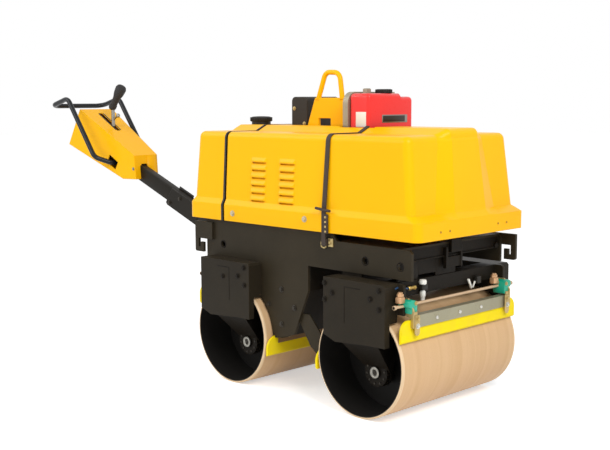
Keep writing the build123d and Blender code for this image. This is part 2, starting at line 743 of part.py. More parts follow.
# ---- engine and its upper parts -----------------------------------------------------------
engine_rear = 345.0
engine_front = 172.0
engine_right = 14.0           # long part of the block keeps to the left of the lifting bracket
engine_left = 206.0
engine_wide = 120.0           # its front part reaches this far to the right
engine_top = 1034.0
engine_seat = engine_top + seat_gap
silencer_rear = 358.0
silencer_front = 262.0
silencer_right = 6.0
silencer_left = 200.0
silencer_top = 1192.0
silencer_round = 20.0
tank_rear = 49.0
tank_front = 155.0
tank_right = -68.0
tank_left = 205.0
tank_top = 1203.0
tank_step = 13.0              # the left part of the tank is lower
tank_step_y = 125.0
tank_round = 14.0
shroud_rear = 22.0
shroud_grow = 7.0             # shroud stands out around the tank's profile
shroud_round = 46.0
fuel_cap_radius = 33.0
fuel_cap_height = 17.0
fuel_cap_place = (100.0, 84.0)
breather_half = (10.0, 13.0)
breather_place = (84.0, 0.0)
breather_height = 20.0

with BuildPart() as engine:
    with BuildSketch(flat.offset(deck_top + seat_gap)):
        with BuildLine():
            Polyline(
                (-engine_rear, engine_right), (0, engine_right), (0, -engine_wide),
                (engine_front, -engine_wide), (engine_front, engine_left),
                (-engine_rear, engine_left),
                close=True,
            )
        make_face()
    extrude(amount=engine_top - deck_top - seat_gap)
engine.part.label = "engine_block"
export_step(engine.part, "parts/engine_block.step")

with BuildPart() as silencer:
    with BuildSketch(cross.offset(-silencer_rear)):
        with Locations(((silencer_right + silencer_left) / 2, (engine_seat + silencer_top) / 2)):
            Rectangle(silencer_left - silencer_right, silencer_top - engine_seat)
    extrude(amount=silencer_rear - silencer_front)
    top_edges = silencer.faces().sort_by(Axis.Z)[-1].edges().filter_by(Axis.Y)
    fillet(top_edges, silencer_round)
    fillet(silencer.faces().sort_by(Axis.Y)[0].edges().sort_by(Axis.Z)[1:], 5)
silencer.part.label = "air_cleaner_box"
export_step(silencer.part, "parts/air_cleaner_box.step")

with BuildPart() as shroud:
    with BuildSketch(cross.offset(shroud_rear)) as rounded:
        with Locations(((tank_right + tank_left) / 2, (engine_seat + tank_top + shroud_grow) / 2)):
            Rectangle(tank_left - tank_right + 2 * shroud_grow, tank_top + shroud_grow - engine_seat)
        fillet(rounded.vertices().sort_by(Axis.Z)[-2:], shroud_round)
    extrude(amount=tank_rear - shroud_rear - seat_gap)
shroud.part.label = "engine_shroud"
export_step(shroud.part, "parts/engine_shroud.step")

with BuildPart() as tank:
    with BuildSketch(cross.offset(tank_rear)):
        with BuildLine():
            Polyline(
                (tank_right, engine_seat), (tank_left, engine_seat),
                (tank_left, tank_top - tank_step), (tank_step_y + tank_step, tank_top - tank_step),
                (tank_step_y, tank_top), (tank_right, tank_top),
                close=True,
            )
        make_face()
    extrude(amount=tank_front - tank_rear)
    fillet(tank.edges().filter_by(Axis.X).sort_by(Axis.Z)[-1], 2 * tank_round)
    fillet(tank.edges().filter_by(Axis.Z), tank_round)
tank.part.label = "fuel_tank"
export_step(tank.part, "parts/fuel_tank.step")

with BuildPart() as fuel_cap:
    with BuildSketch(flat.offset(tank_top + seat_gap)):
        with Locations(fuel_cap_place):
            Circle(fuel_cap_radius)
    extrude(amount=fuel_cap_height)
    chamfer(fuel_cap.faces().sort_by(Axis.Z)[-1].edges(), 3)
fuel_cap.part.label = "fuel_cap"
export_step(fuel_cap.part, "parts/fuel_cap.step")

with BuildPart() as breather:
    with BuildSketch(flat.offset(tank_top + seat_gap)):
        with Locations(breather_place):
            Rectangle(2 * breather_half[0], 2 * breather_half[1])
    extrude(amount=breather_height)
    chamfer(breather.faces().sort_by(Axis.Z)[-1].edges(), 3)
breather.part.label = "tank_breather"
export_step(breather.part, "parts/tank_breather.step")


# ---- lifting bracket ----------------------------------------------------------------------
eye_half_wall = 6.0
eye_plate = ((-250.0, 1064.0), (-203.0, 1187.0), (-40.0, 1187.0), (-40.0, 1064.0))
eye_window = (-147.0, 1083.0, 70.0, 38.0)
hoop_radius = 10.5
hoop_bend = 34.0
hoop_corners = ((-189.0, 1180.0), (-146.0, 1293.0), (-66.0, 1289.0), (-51.0, 1180.0))

with BuildPart() as eye:
    with BuildSketch(side.offset(-eye_half_wall)):
        with BuildLine():
            Polyline(
                *eye_plate,
                (eye_plate[3][0], deck_top + seat_gap),
                (eye_plate[0][0], deck_top + seat_gap),
                close=True,
            )
        make_face()
        with Locations(eye_window[:2]):
            Rectangle(*eye_window[2:], mode=Mode.SUBTRACT)
    extrude(amount=2 * eye_half_wall)
    with BuildLine(side) as hoop_line:
        FilletPolyline(*hoop_corners, radius=hoop_bend)
    with BuildSketch(Plane(origin=hoop_line.line @ 0, z_dir=hoop_line.line % 0)):
        Circle(hoop_radius)
    sweep(path=hoop_line.line)
eye.part.label = "lifting_bracket"
export_step(eye.part, "parts/lifting_bracket.step")


# ---- handle -------------------------------------------------------------------------------
clevis_half = 42.0
clevis_tall = 112.0
clevis_top = 560.0            # length of the clevis part along its upper and lower side
clevis_low = 440.0
bar_width = 60.0
bar_height = 85.0
bar_end = 1090.0              # drawbar's rear end, from the pin
box_wall = 3.0
box_profile = ((-1418, 905), (-1408, 786), (-1510, 784), (-1955, 950), (-1853, 1135))
box_front_half = 69.0
box_rear_half = 108.0
lever_x = -1697.0
lever_radius = 8.0
lever_base = 974.0
lever_slot = (168.0, 20.0)
side_slot = (74.0, 44.0)
lever_foot = (1068.0, 40.0, 24.0, 16.0)  # place along the drawbar, length, width and height
grip_start = (-1697.0, 1150.0)
grip_end = (-1622.0, 1238.0)  # a point that its axis passes through
grip_radius = 17.0
grip_length = 115.0
tube_radius = 12.5
tube_bend = 45.0
tube_half = 160.0             # from the middle to the handlebar's two sides
tube_way_out = 85.0           # straight out through the control box's slots to here
tube_foot = ((-1600.0, 863.0), (-1638.0, 893.0))
tube_top = 1192.0
tube_rear = 1152.0            # height of the crossbar
top_bend = 171.0              # from the upper bends to the crossbar's rear
pin_half = 66.0

slope = radians(handle_angle)
along = Plane(
    origin=(mid_x - pivot_back, 0, pivot_height),
    x_dir=(-cos(slope), 0, sin(slope)),
    z_dir=(0, 1, 0),
)                                        # X along the drawbar to the rear, Y up, offset to the left

with BuildPart() as pin:
    with BuildSketch(side.offset(-pin_half)):
        with Locations((-pivot_back, pivot_height)):
            Circle(pin_radius)
    extrude(amount=2 * pin_half)
pin.part.label = "handle_pin"
export_step(pin.part, "parts/handle_pin.step")

with BuildPart() as drawbar:
    with BuildSketch(along.offset(-clevis_half)):
        with BuildLine():
            Polyline(
                (0, -clevis_tall / 2), (clevis_low, -clevis_tall / 2),
                (clevis_top, clevis_tall / 2), (0, clevis_tall / 2),
                close=True,
            )
        make_face()
        Circle(clevis_tall / 2)
    extrude(amount=2 * clevis_half)
    with BuildSketch(along.offset(-bar_width / 2)):
        with Locations((bar_end / 2, 0)):
            Rectangle(bar_end, bar_height)
    extrude(amount=bar_width)
    with BuildSketch(along.offset(-clevis_half)):
        Circle(pin_radius + pin_gap)
    extrude(amount=2 * clevis_half, mode=Mode.SUBTRACT)
drawbar.part.label = "drawbar"
export_step(drawbar.part, "parts/drawbar.step")


def box_form(inset):
    """Control box as a solid, moved inward by `inset`."""
    rear_x = box_profile[3][0]
    front_x = box_profile[1][0]
    with BuildPart() as form:
        with BuildSketch(side.offset(-box_rear_half)):
            with BuildLine():
                Polyline(*box_profile, close=True)
            make_face()
            if inset:
                offset(amount=-inset, kind=Kind.INTERSECTION)
        extrude(amount=2 * box_rear_half)
        with BuildSketch(flat):
            with BuildLine():
                Polyline(
                    (rear_x, box_rear_half - inset), (front_x, box_front_half - inset),
                    (front_x, inset - box_front_half), (rear_x, inset - box_rear_half),
                    close=True,
                )
            make_face()
        extrude(amount=2 * crown, mode=Mode.INTERSECT)
    return form.part


with BuildPart() as box:
    add(box_form(0) - box_form(box_wall))
    with BuildSketch(along.offset(-bar_width / 2 - seat_gap)):
        with Locations((bar_end / 2, 0)):
            Rectangle(bar_end, bar_height + 2 * seat_gap)
    extrude(amount=bar_width + 2 * seat_gap, mode=Mode.SUBTRACT)
    with BuildSketch(flat.offset(lever_base)):
        with Locations((lever_x - 33, 0)):
            Rectangle(*lever_slot)
    extrude(amount=2 * box_rear_half, mode=Mode.SUBTRACT)
    with BuildSketch(side.offset(-box_rear_half)):
        with Locations(Location((tube_foot[0][0] + 8, tube_foot[0][1] + 3), -30)):
            Rectangle(*side_slot)
    extrude(amount=2 * box_rear_half, mode=Mode.SUBTRACT)
box.part.label = "control_box"
export_step(box.part, "parts/control_box.step")

with BuildPart() as handlebar:
    for turn in (-1, 1):
        foot_x = mid_x + tube_foot[0][0]
        crossbar_x = mid_x - handle_reach + tube_radius
        corners = (
            (foot_x, turn * (bar_width / 2 + seat_gap), tube_foot[0][1]),
            (foot_x, turn * tube_way_out, tube_foot[0][1]),
            (mid_x + tube_foot[1][0], turn * tube_half, tube_foot[1][1]),
            (mid_x - handle_reach + top_bend, turn * tube_half, tube_top),
            (crossbar_x, turn * tube_half, tube_rear),
            (crossbar_x, 0, tube_rear),
        )
        with BuildLine() as tube_line:
            FilletPolyline(*corners, radius=tube_bend)
        with BuildSketch(Plane(origin=tube_line.line @ 0, z_dir=tube_line.line % 0)):
            Circle(tube_radius)
        sweep(path=tube_line.line)
handlebar.part.label = "handlebar"
export_step(handlebar.part, "parts/handlebar.step")

rise = Plane(
    origin=(mid_x + grip_start[0], 0, grip_start[1]),
    x_dir=(0, 1, 0),
    z_dir=(grip_end[0] - grip_start[0], 0, grip_end[1] - grip_start[1]),
)
with BuildPart() as lever:
    with BuildSketch(rise.offset(-grip_radius / 2)):
        Circle(grip_radius)
    extrude(amount=grip_length)
    fillet(lever.edges(), grip_radius / 2)
    with BuildSketch(flat.offset(lever_base)):
        with Locations((lever_x, 0)):
            Circle(lever_radius)
    extrude(amount=grip_start[1] - lever_base)
    with BuildSketch(along.offset(-lever_foot[2] / 2)):
        with Locations((lever_foot[0], (bar_height + lever_foot[3]) / 2 + seat_gap)):
            Rectangle(lever_foot[1], lever_foot[3])
    extrude(amount=lever_foot[2])
lever.part.label = "travel_lever"
export_step(lever.part, "parts/travel_lever.step")
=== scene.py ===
import bpy
import bmesh
import math
from mathutils import Matrix, Vector


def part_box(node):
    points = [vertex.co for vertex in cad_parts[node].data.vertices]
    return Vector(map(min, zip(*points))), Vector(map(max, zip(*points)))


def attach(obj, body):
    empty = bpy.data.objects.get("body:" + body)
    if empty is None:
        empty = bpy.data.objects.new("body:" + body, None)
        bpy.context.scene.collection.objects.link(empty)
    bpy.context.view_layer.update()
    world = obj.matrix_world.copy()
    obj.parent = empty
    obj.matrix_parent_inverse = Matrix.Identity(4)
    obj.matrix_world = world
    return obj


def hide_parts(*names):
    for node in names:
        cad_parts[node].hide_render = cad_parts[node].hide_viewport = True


# Walk-behind double-drum roller. Metres, +X forward, +Y to the left, +Z up, origin on the ground.
# Places along X are given from the point midway between the two drums, as in the CAD.

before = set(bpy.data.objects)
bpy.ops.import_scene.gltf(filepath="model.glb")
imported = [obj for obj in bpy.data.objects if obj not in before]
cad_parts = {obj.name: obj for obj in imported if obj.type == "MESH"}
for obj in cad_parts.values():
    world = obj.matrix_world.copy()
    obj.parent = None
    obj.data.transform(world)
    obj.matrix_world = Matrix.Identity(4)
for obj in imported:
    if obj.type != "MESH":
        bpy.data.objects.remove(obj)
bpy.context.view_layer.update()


def boxCentre(name):
    low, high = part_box(name)
    return (low + high) / 2


frontAxle = boxCentre("front_drum")
rearAxle = boxCentre("rear_drum")
middle = (frontAxle.x + rearAxle.x) / 2


def at(x, y, z):                         # from millimetres about the middle to the scene's metres
    return Vector((middle + x / 1000, y / 1000, z / 1000))


def node(tree, kind, inputs=None, **settings):   # a shader node with its sockets linked or set
    made = tree.nodes.new("ShaderNode" + kind)
    for key, value in settings.items():
        setattr(made, key, value)
    for key, value in (inputs or {}).items():
        if isinstance(value, bpy.types.NodeSocket):
            tree.links.new(value, made.inputs[key])
        else:
            made.inputs[key].default_value = value
    return made


# Camera, light and floor

camera = {"place": (2891.1, -3125.6, 1174.7), "heading": 45.3444, "tilt": 6.8241, "roll": -0.2417,
          "lens": 61.27, "sensor": 36, "farthest": 200}


def placeCamera(look):
    lens = bpy.data.cameras.new("camera")
    lens.lens = look["lens"]
    lens.sensor_width = look["sensor"]
    lens.clip_end = look["farthest"]
    eye = bpy.data.objects.new("camera", lens)
    turn = (Matrix.Rotation(math.radians(look["heading"]), 4, "Z")
            @ Matrix.Rotation(math.radians(90 - look["tilt"]), 4, "X")
            @ Matrix.Rotation(math.radians(look["roll"]), 4, "Z"))
    eye.matrix_world = Matrix.Translation(at(*look["place"])) @ turn
    bpy.context.scene.collection.objects.link(eye)
    bpy.context.scene.camera = eye


lamps = {"keyLamp": {"place": (3200, -1400, 3300), "aim": (0, 0, 600), "size": 1.8, "power": 104},
         "fillLamp": {"place": (-1400, -3700, 3000), "aim": (0, 0, 600), "size": 2.6, "power": 52},
         "rearLamp": {"place": (-2600, -1500, 2700), "aim": (-1700, 0, 900), "size": 1.6, "power": 19}}


def hangLamp(name, look):
    lamp = bpy.data.lights.new(name, "AREA")
    lamp.size = look["size"]
    lamp.energy = look["power"]
    holder = bpy.data.objects.new(name, lamp)
    start = at(*look["place"])
    aim = (at(*look["aim"]) - start).to_track_quat("-Z", "Y").to_matrix().to_4x4()
    holder.matrix_world = Matrix.Translation(start) @ aim
    bpy.context.scene.collection.objects.link(holder)


def directRays(tree):                    # 1 for camera, glossy and transmission rays
    rays = node(tree, "LightPath").outputs
    share = rays["Is Camera Ray"]
    for kind in ("Is Glossy Ray", "Is Transmission Ray"):
        share = node(tree, "Math", {0: share, 1: rays[kind]}, operation="MAXIMUM").outputs[0]
    return share


sky = {"level": 0.55, "backdrop": 1}     # what lights the roller, and what the camera sees


def lightWorld(look):
    world = bpy.data.worlds.new("studio")
    bpy.context.scene.world = world
    world.use_nodes = True
    tree = world.node_tree
    back = tree.nodes["Background"]
    back.inputs["Color"].default_value = (1, 1, 1, 1)
    level = node(tree, "MapRange", {"Value": directRays(tree), "To Min": look["level"],
                                    "To Max": look["backdrop"]})
    tree.links.new(level.outputs["Result"], back.inputs["Strength"])


ground = {"tone": 0.93, "glow": 0.5, "size": 60}


def layFloor(look):
    shape = bmesh.new()
    bmesh.ops.create_grid(shape, x_segments=1, y_segments=1, size=look["size"] / 2)
    mesh = bpy.data.meshes.new("floor")
    shape.to_mesh(mesh)
    shape.free()
    floor = bpy.data.objects.new("floor", mesh)
    bpy.context.scene.collection.objects.link(floor)
    made = bpy.data.materials.new("floorPaint")
    made.use_nodes = True
    tree = made.node_tree
    shader = tree.nodes["Principled BSDF"]
    shader.inputs["Base Color"].default_value = (look["tone"], look["tone"], look["tone"], 1)
    shader.inputs["Roughness"].default_value = 1
    shader.inputs["Specular IOR Level"].default_value = 0
    shader.inputs["Emission Color"].default_value = (1, 1, 1, 1)
    glow = node(tree, "Math", {0: directRays(tree), 1: look["glow"]}, operation="MULTIPLY")
    tree.links.new(glow.outputs[0], shader.inputs["Emission Strength"])
    mesh.materials.append(made)


bpy.context.scene.view_settings.view_transform = "Standard"
placeCamera(camera)
lightWorld(sky)
for name, look in lamps.items():
    hangLamp(name, look)
layFloor(ground)
print("stage set")


# Materials

def colour(code):                        # "RRGGBB" as seen on a screen, to the shader's linear values
    parts = [int(code[i:i + 2], 16) / 255 for i in (0, 2, 4)]
    return tuple(p / 12.92 if p <= 0.04045 else ((p + 0.055) / 1.055) ** 2.4 for p in parts) + (1,)


def spread(tree, value, low, high, toLow=0.0, toHigh=1.0):
    return node(tree, "MapRange", {"Value": value, "From Min": low, "From Max": high,
                                   "To Min": toLow, "To Max": toHigh}).outputs["Result"]


def noise(tree, where, scale, detail, rough, stretch=None):
    if stretch:
        where = node(tree, "Mapping", {"Vector": where, "Scale": stretch}).outputs["Vector"]
    return node(tree, "TexNoise", {"Vector": where, "Scale": scale, "Detail": detail,
                                   "Roughness": rough}).outputs["Fac"]


# each kind of mark: its noise's detail and roughness, and the low and high end of what shows of it
marks = {"tint": (4, 0.55, 0.35, 0.65), "grain": (4, 0.7, 0.3, 0.7), "speck": (3, 0.8, 0.6, 0.74),
         "wearAndHighlight": (4, 0.7, 0.35, 0.6), "dust": (5, 0.65, 0.38, 0.68), "band": (4, 0.75, 0.3, 0.7),
         "patch": (5, 0.7, 0.4, 0.62), "grit": (3, 0.8, 0.58, 0.75)}


def mark(tree, where, kind, scale, toLow=0.0, toHigh=1.0):
    detail, rough, low, high = marks[kind]
    return spread(tree, noise(tree, where, scale, detail, rough), low, high, toLow, toHigh)


def blendColour(tree, share, first, second):
    mixed = node(tree, "Mix", {"Factor": share}, data_type="RGBA")
    for socket, value in ((mixed.inputs[6], first), (mixed.inputs[7], second)):   # its colour sockets
        if isinstance(value, bpy.types.NodeSocket):
            tree.links.new(value, socket)
        else:
            socket.default_value = value
    return mixed.outputs[2]


def times(tree, a, b):
    return node(tree, "Math", {0: a, 1: b}, operation="MULTIPLY").outputs[0]


def newFinish(name):
    made = bpy.data.materials.new(name)
    made.use_nodes = True
    tree = made.node_tree
    shader = tree.nodes["Principled BSDF"]
    where = node(tree, "TexCoord").outputs["Object"]
    return made, tree, shader, where


bevelSamples = 6


def softNormal(tree, radius):            # rounds the light on sharp edges
    return node(tree, "Bevel", {"Radius": radius}, samples=bevelSamples).outputs["Normal"]


def edgeShare(tree, radius, low=0.03, high=0.22):   # 1 on outside edges, 0 on flats
    plain = node(tree, "NewGeometry").outputs["Normal"]
    same = node(tree, "VectorMath", {0: softNormal(tree, radius), 1: plain}, operation="DOT_PRODUCT")
    return spread(tree, same.outputs["Value"], 1 - low, 1 - high)


plainDust = {"scale": 7, "side": 0.15, "top": 1.0, "upFrom": 0.2, "above": 0.2, "rough": 0.35}


def dustShare(tree, where, dust):        # more on faces that look up and low down
    plain = node(tree, "NewGeometry").outputs["Normal"]
    up = node(tree, "SeparateXYZ", {"Vector": plain}).outputs["Z"]
    upShare = spread(tree, up, dust["upFrom"], 1.0, dust["side"], dust["top"])
    share = times(tree, times(tree, upShare, mark(tree, where, "dust", dust["scale"])), dust["amount"])
    if "height" in dust:
        low, high = dust["height"]
        z = node(tree, "SeparateXYZ", {"Vector": where}).outputs["Z"]
        share = times(tree, share, spread(tree, z, high, low, dust["above"], 1.0))
    return share


def roughen(tree, shader, look, height, round):   # fine relief over the softened normal
    bump = node(tree, "Bump", {"Height": height, "Strength": look["bump"], "Distance": look["bumpDepth"],
                               "Normal": softNormal(tree, round)})
    tree.links.new(bump.outputs["Normal"], shader.inputs["Normal"])


# what a finish has where its own look says nothing else
plainLook = {"broad": 2.5, "tintShare": 0.6, "fine": 160, "roughVary": 0.08, "wearAndHighlightScale": 35, "metal": 0,
             "coat": 0, "coatRough": 0.1, "shine": 0.5, "peelScale": 320, "peelDetail": 2, "peelRough": 0.5,
             "stretch": None, "bump": 0.12, "bumpDepth": 0.0006, "round": 0.002}


def paint(name, ownLook):
    look = {**plainLook, **ownLook}
    made, tree, shader, where = newFinish(name)
    share = times(tree, mark(tree, where, "tint", look["broad"]), look["tintShare"])
    tone = blendColour(tree, share, colour(look["colour"]), colour(look["tint"]))
    fine = times(tree, mark(tree, where, "grain", look["fine"], -0.5, 0.5), look["roughVary"])
    roughness = node(tree, "Math", {0: look["rough"], 1: fine}, operation="ADD").outputs[0]
    if "speck" in look:
        code, share, scale = look["speck"]
        tone = blendColour(tree, times(tree, mark(tree, where, "speck", scale), share), tone, colour(code))
    # lighter outside edges: partly wear, partly painted highlight
    if "edge" in look:
        code, share, radius = look["edge"]
        wornAndHighlit = times(tree, edgeShare(tree, radius), mark(tree, where, "wearAndHighlight", look["wearAndHighlightScale"]))
        tone = blendColour(tree, times(tree, wornAndHighlit, share), tone, colour(code))
    if "dust" in look:
        dust = {**plainDust, **look["dust"]}
        share = dustShare(tree, where, dust)
        tone = blendColour(tree, share, tone, colour(dust["colour"]))
        roughness = node(tree, "Math", {0: roughness, 1: times(tree, share, dust["rough"])},
                         operation="ADD", use_clamp=True).outputs[0]
    tree.links.new(tone, shader.inputs["Base Color"])
    tree.links.new(roughness, shader.inputs["Roughness"])
    shader.inputs["Metallic"].default_value = look["metal"]
    shader.inputs["Coat Weight"].default_value = look["coat"]
    shader.inputs["Coat Roughness"].default_value = look["coatRough"]
    shader.inputs["Specular IOR Level"].default_value = look["shine"]
    peel = noise(tree, where, look["peelScale"], look["peelDetail"], look["peelRough"], look["stretch"])
    roughen(tree, shader, look, peel, look["round"])
    return made


# screen colours, shares from 0 to 1, noise scales, and in metres edge widths, depths and roundings
# a speck is its colour, share and noise scale, an edge its colour, share and width; an edge is a lighter
# outside edge, partly wear and partly painted highlight
looks = {
    "bodyYellow": {"colour": "FFBC00", "tint": "FDB600", "rough": 0.32, "roughVary": 0.05, "coat": 0.03,
                   "shine": 0.14, "broad": 1.6, "peelScale": 140, "bump": 0.05, "round": 0.006},
    "frameBlack": {"colour": "2C261B", "tint": "342D20", "rough": 0.46, "roughVary": 0.15, "shine": 0.11,
                   "speck": ("4A4335", 0.2, 90), "edge": ("5E574A", 0.4, 0.002),
                   "dust": {"colour": "7A6D58", "amount": 0.16, "scale": 5, "side": 0.25,
                            "height": (0.1, 0.9), "above": 0.5},
                   "peelScale": 220, "bump": 0.2},
    # a darker copy of frameBlack: painted shade for pieces that sit in shade under the hood and inside the
    # drums
    "frameBlackPaintedShade": {"colour": "17130E", "tint": "201B14", "rough": 0.5, "roughVary": 0.15, "shine": 0.1,
                   "speck": ("3A3428", 0.2, 90), "edge": ("4A4438", 0.4, 0.002), "peelScale": 220,
                   "bump": 0.2},
    "caseBlack": {"colour": "231E16", "tint": "2B251B", "rough": 0.44, "roughVary": 0.16, "shine": 0.1,
                  "speck": ("403A2E", 0.2, 90), "edge": ("565042", 0.4, 0.002), "broad": 3.4,
                  "dust": {"colour": "6E624E", "amount": 0.12, "scale": 5, "side": 0.2}, "peelScale": 220,
                  "bump": 0.2},
    "innerBar": {"colour": "8E7150", "tint": "6E5337", "rough": 0.5, "metal": 0.2, "roughVary": 0.15,
                 "shine": 0.25, "speck": ("4A3620", 0.5, 60), "broad": 12, "bump": 0.12},
    "strapDark": {"colour": "40362F", "tint": "362E29", "rough": 0.6, "shine": 0.25, "roughVary": 0.15,
                  "peelScale": 500, "bump": 0.25, "round": 0.0012},
    "rubberBlack": {"colour": "1D1B1A", "tint": "24211F", "rough": 0.7, "peelScale": 500, "bump": 0.2},
    "bladeYellow": {"colour": "FEE500", "tint": "F5DC06", "rough": 0.4, "shine": 0.12,
                    "dust": {"colour": "B79A5E", "amount": 0.35, "scale": 12, "side": 0.5},
                    "peelScale": 200, "bump": 0.08},
    "barGrey": {"colour": "A09B82", "tint": "8E886F", "rough": 0.42, "metal": 0.35, "roughVary": 0.2,
                "speck": ("7B6A4C", 0.5, 40), "edge": ("C9C4B2", 0.6, 0.0015), "stretch": (1, 0.08, 1),
                "peelScale": 260, "bump": 0.12},
    "zincYellow": {"colour": "C2A76B", "tint": "A99A6E", "rough": 0.35, "metal": 0.6, "roughVary": 0.2,
                   "speck": ("7A6034", 0.45, 60), "broad": 14, "bump": 0.1},
    "pipeTan": {"colour": "CDB08E", "tint": "B99B78", "rough": 0.5, "broad": 8, "bump": 0.1,
                "speck": ("8A6E4C", 0.4, 50)},
    "tankRed": {"colour": "F03430", "tint": "E62E2B", "rough": 0.3, "coat": 0.12, "coatRough": 0.08,
                "shine": 0.3, "peelScale": 160, "bump": 0.04, "round": 0.004},
    "plasticBlack": {"colour": "1F1D19", "tint": "27241F", "rough": 0.42, "shine": 0.25, "peelScale": 900,
                     "bump": 0.3},
    "castGrey": {"colour": "A39A86", "tint": "8F8672", "rough": 0.5, "metal": 0.5, "roughVary": 0.15,
                 "speck": ("5F5644", 0.4, 60), "peelScale": 600, "bump": 0.4},
    "pinSteel": {"colour": "9A9890", "tint": "84817A", "rough": 0.33, "metal": 0.9, "bump": 0.05},
    "boxBlack": {"colour": "27221B", "tint": "332B22", "rough": 0.4, "shine": 0.25, "roughVary": 0.12,
                 "speck": ("5A4A38", 0.3, 50), "edge": ("54504A", 0.4, 0.002), "peelScale": 260},
    "tubeBlack": {"colour": "181A1D", "tint": "212429", "rough": 0.28, "coat": 0.06, "shine": 0.22,
                  "bump": 0.06},
    "boltDark": {"colour": "2A251E", "tint": "3A342B", "rough": 0.4, "metal": 0.2, "shine": 0.3,
                 "edge": ("8A8270", 0.5, 0.0008), "broad": 30, "bump": 0.08, "round": 0.0008},
    "seamBrown": {"colour": "19130B", "tint": "120E08", "shine": 0.12, "rough": 0.6, "broad": 20,
                  "bump": 0.2, "round": 0.0008},
    "screwBrown": {"colour": "B98A2A", "tint": "9C7422", "rough": 0.5, "metal": 0.2, "shine": 0.3,
                   "bump": 0.05, "round": 0.0008},
    "boltBeige": {"colour": "C9BFA2", "tint": "A89C7C", "rough": 0.38, "metal": 0.4, "broad": 24,
                  "bump": 0.08, "round": 0.0008},
    "screwPale": {"colour": "D5D4CE", "tint": "BDBBB2", "rough": 0.28, "metal": 0.7, "bump": 0.04,
                  "round": 0.0008},
    "clampTeal": {"colour": "05AA87", "tint": "0A9C80", "rough": 0.36, "coat": 0.2, "bump": 0.08,
                  "speck": ("0C6F5C", 0.3, 60), "round": 0.0015},
    "fittingCopper": {"colour": "CFA57C", "tint": "B98A60", "rough": 0.38, "metal": 0.4, "broad": 18,
                      "bump": 0.1, "round": 0.0012},
    "fittingBrass": {"colour": "C2A45C", "tint": "A48848", "rough": 0.3, "metal": 0.8, "bump": 0.05,
                     "round": 0.0008},
    "nozzleWhite": {"colour": "EFEFE8", "tint": "E2E1D8", "rough": 0.4, "bump": 0.05, "round": 0.001},
    "pipeBlue": {"colour": "2C4C74", "tint": "284468", "rough": 0.32, "bump": 0.04, "round": 0.0006},
    "plateWhite": {"colour": "EFEEE8", "tint": "E6E4DC", "rough": 0.4, "bump": 0.04, "round": 0.0005},
    # the drawbar's lighter outside edges are a painted highlight
    "barBlack": {"colour": "1C1914", "tint": "25211A", "shine": 0.12, "rough": 0.4, "roughVary": 0.14,
                 "bump": 0.15, "edge": ("5E584C", 0.4, 0.002)},
}
finishes = {name: paint(name, look) for name, look in looks.items()}


drumLook = {"light": "DDBA8E", "dark": "CDA679", "bandScale": 13,
            "patch": "D6B088", "patchScale": 9, "patchShare": 0.35,
            "speck": "8E6C4A", "speckScale": 240, "speckShare": 0.3,
            "rim": "E9CFAB", "rimFrom": 0.338, "rimFade": 0.003, "rimShare": 0.7,
            "inside": "1C1A18", "shellFrom": 0.2045, "shellFade": 0.0012,
            "rough": (0.42, 0.58), "metal": 0.05, "shine": 0.25,
            "scratch": (60, 5, 0.8, (1, 6, 1)), "bump": 0.25, "bumpDepth": 0.0006, "round": 0.002}


def drumFinish(look):                    # bands round the shell, worn rims, black paint inside
    made, tree, shader, where = newFinish("drumSteel")
    parts = node(tree, "SeparateXYZ", {"Vector": where})
    rings = node(tree, "CombineXYZ", {"Y": parts.outputs["Y"]}).outputs["Vector"]
    band = mark(tree, rings, "band", look["bandScale"])
    tone = blendColour(tree, band, colour(look["light"]), colour(look["dark"]))
    patches = times(tree, mark(tree, where, "patch", look["patchScale"]), look["patchShare"])
    tone = blendColour(tree, patches, tone, colour(look["patch"]))
    grit = times(tree, mark(tree, where, "grit", look["speckScale"]), look["speckShare"])
    tone = blendColour(tree, grit, tone, colour(look["speck"]))
    side = node(tree, "Math", {0: parts.outputs["Y"]}, operation="ABSOLUTE").outputs[0]
    rim = spread(tree, side, look["rimFrom"], look["rimFrom"] + look["rimFade"])
    tone = blendColour(tree, times(tree, rim, look["rimShare"]), tone, colour(look["rim"]))
    reach = []                           # distance from each drum's axis
    for axle in (frontAxle, rearAxle):
        fromAxle = node(tree, "VectorMath", {0: where, 1: (axle.x, 0, axle.z)}, operation="SUBTRACT")
        flat = node(tree, "VectorMath", {0: fromAxle.outputs[0], 1: (1, 0, 1)}, operation="MULTIPLY")
        reach.append(node(tree, "VectorMath", {0: flat.outputs[0]}, operation="LENGTH").outputs["Value"])
    nearest = node(tree, "Math", {0: reach[0], 1: reach[1]}, operation="MINIMUM", use_clamp=True).outputs[0]
    shell = spread(tree, nearest, look["shellFrom"], look["shellFrom"] + look["shellFade"])
    tone = blendColour(tree, shell, colour(look["inside"]), tone)
    tree.links.new(tone, shader.inputs["Base Color"])
    tree.links.new(spread(tree, band, 0, 1, *look["rough"]), shader.inputs["Roughness"])
    shader.inputs["Metallic"].default_value = look["metal"]
    shader.inputs["Specular IOR Level"].default_value = look["shine"]
    roughen(tree, shader, look, noise(tree, where, *look["scratch"]), look["round"])
    return made


finishes["drumSteel"] = drumFinish(drumLook)

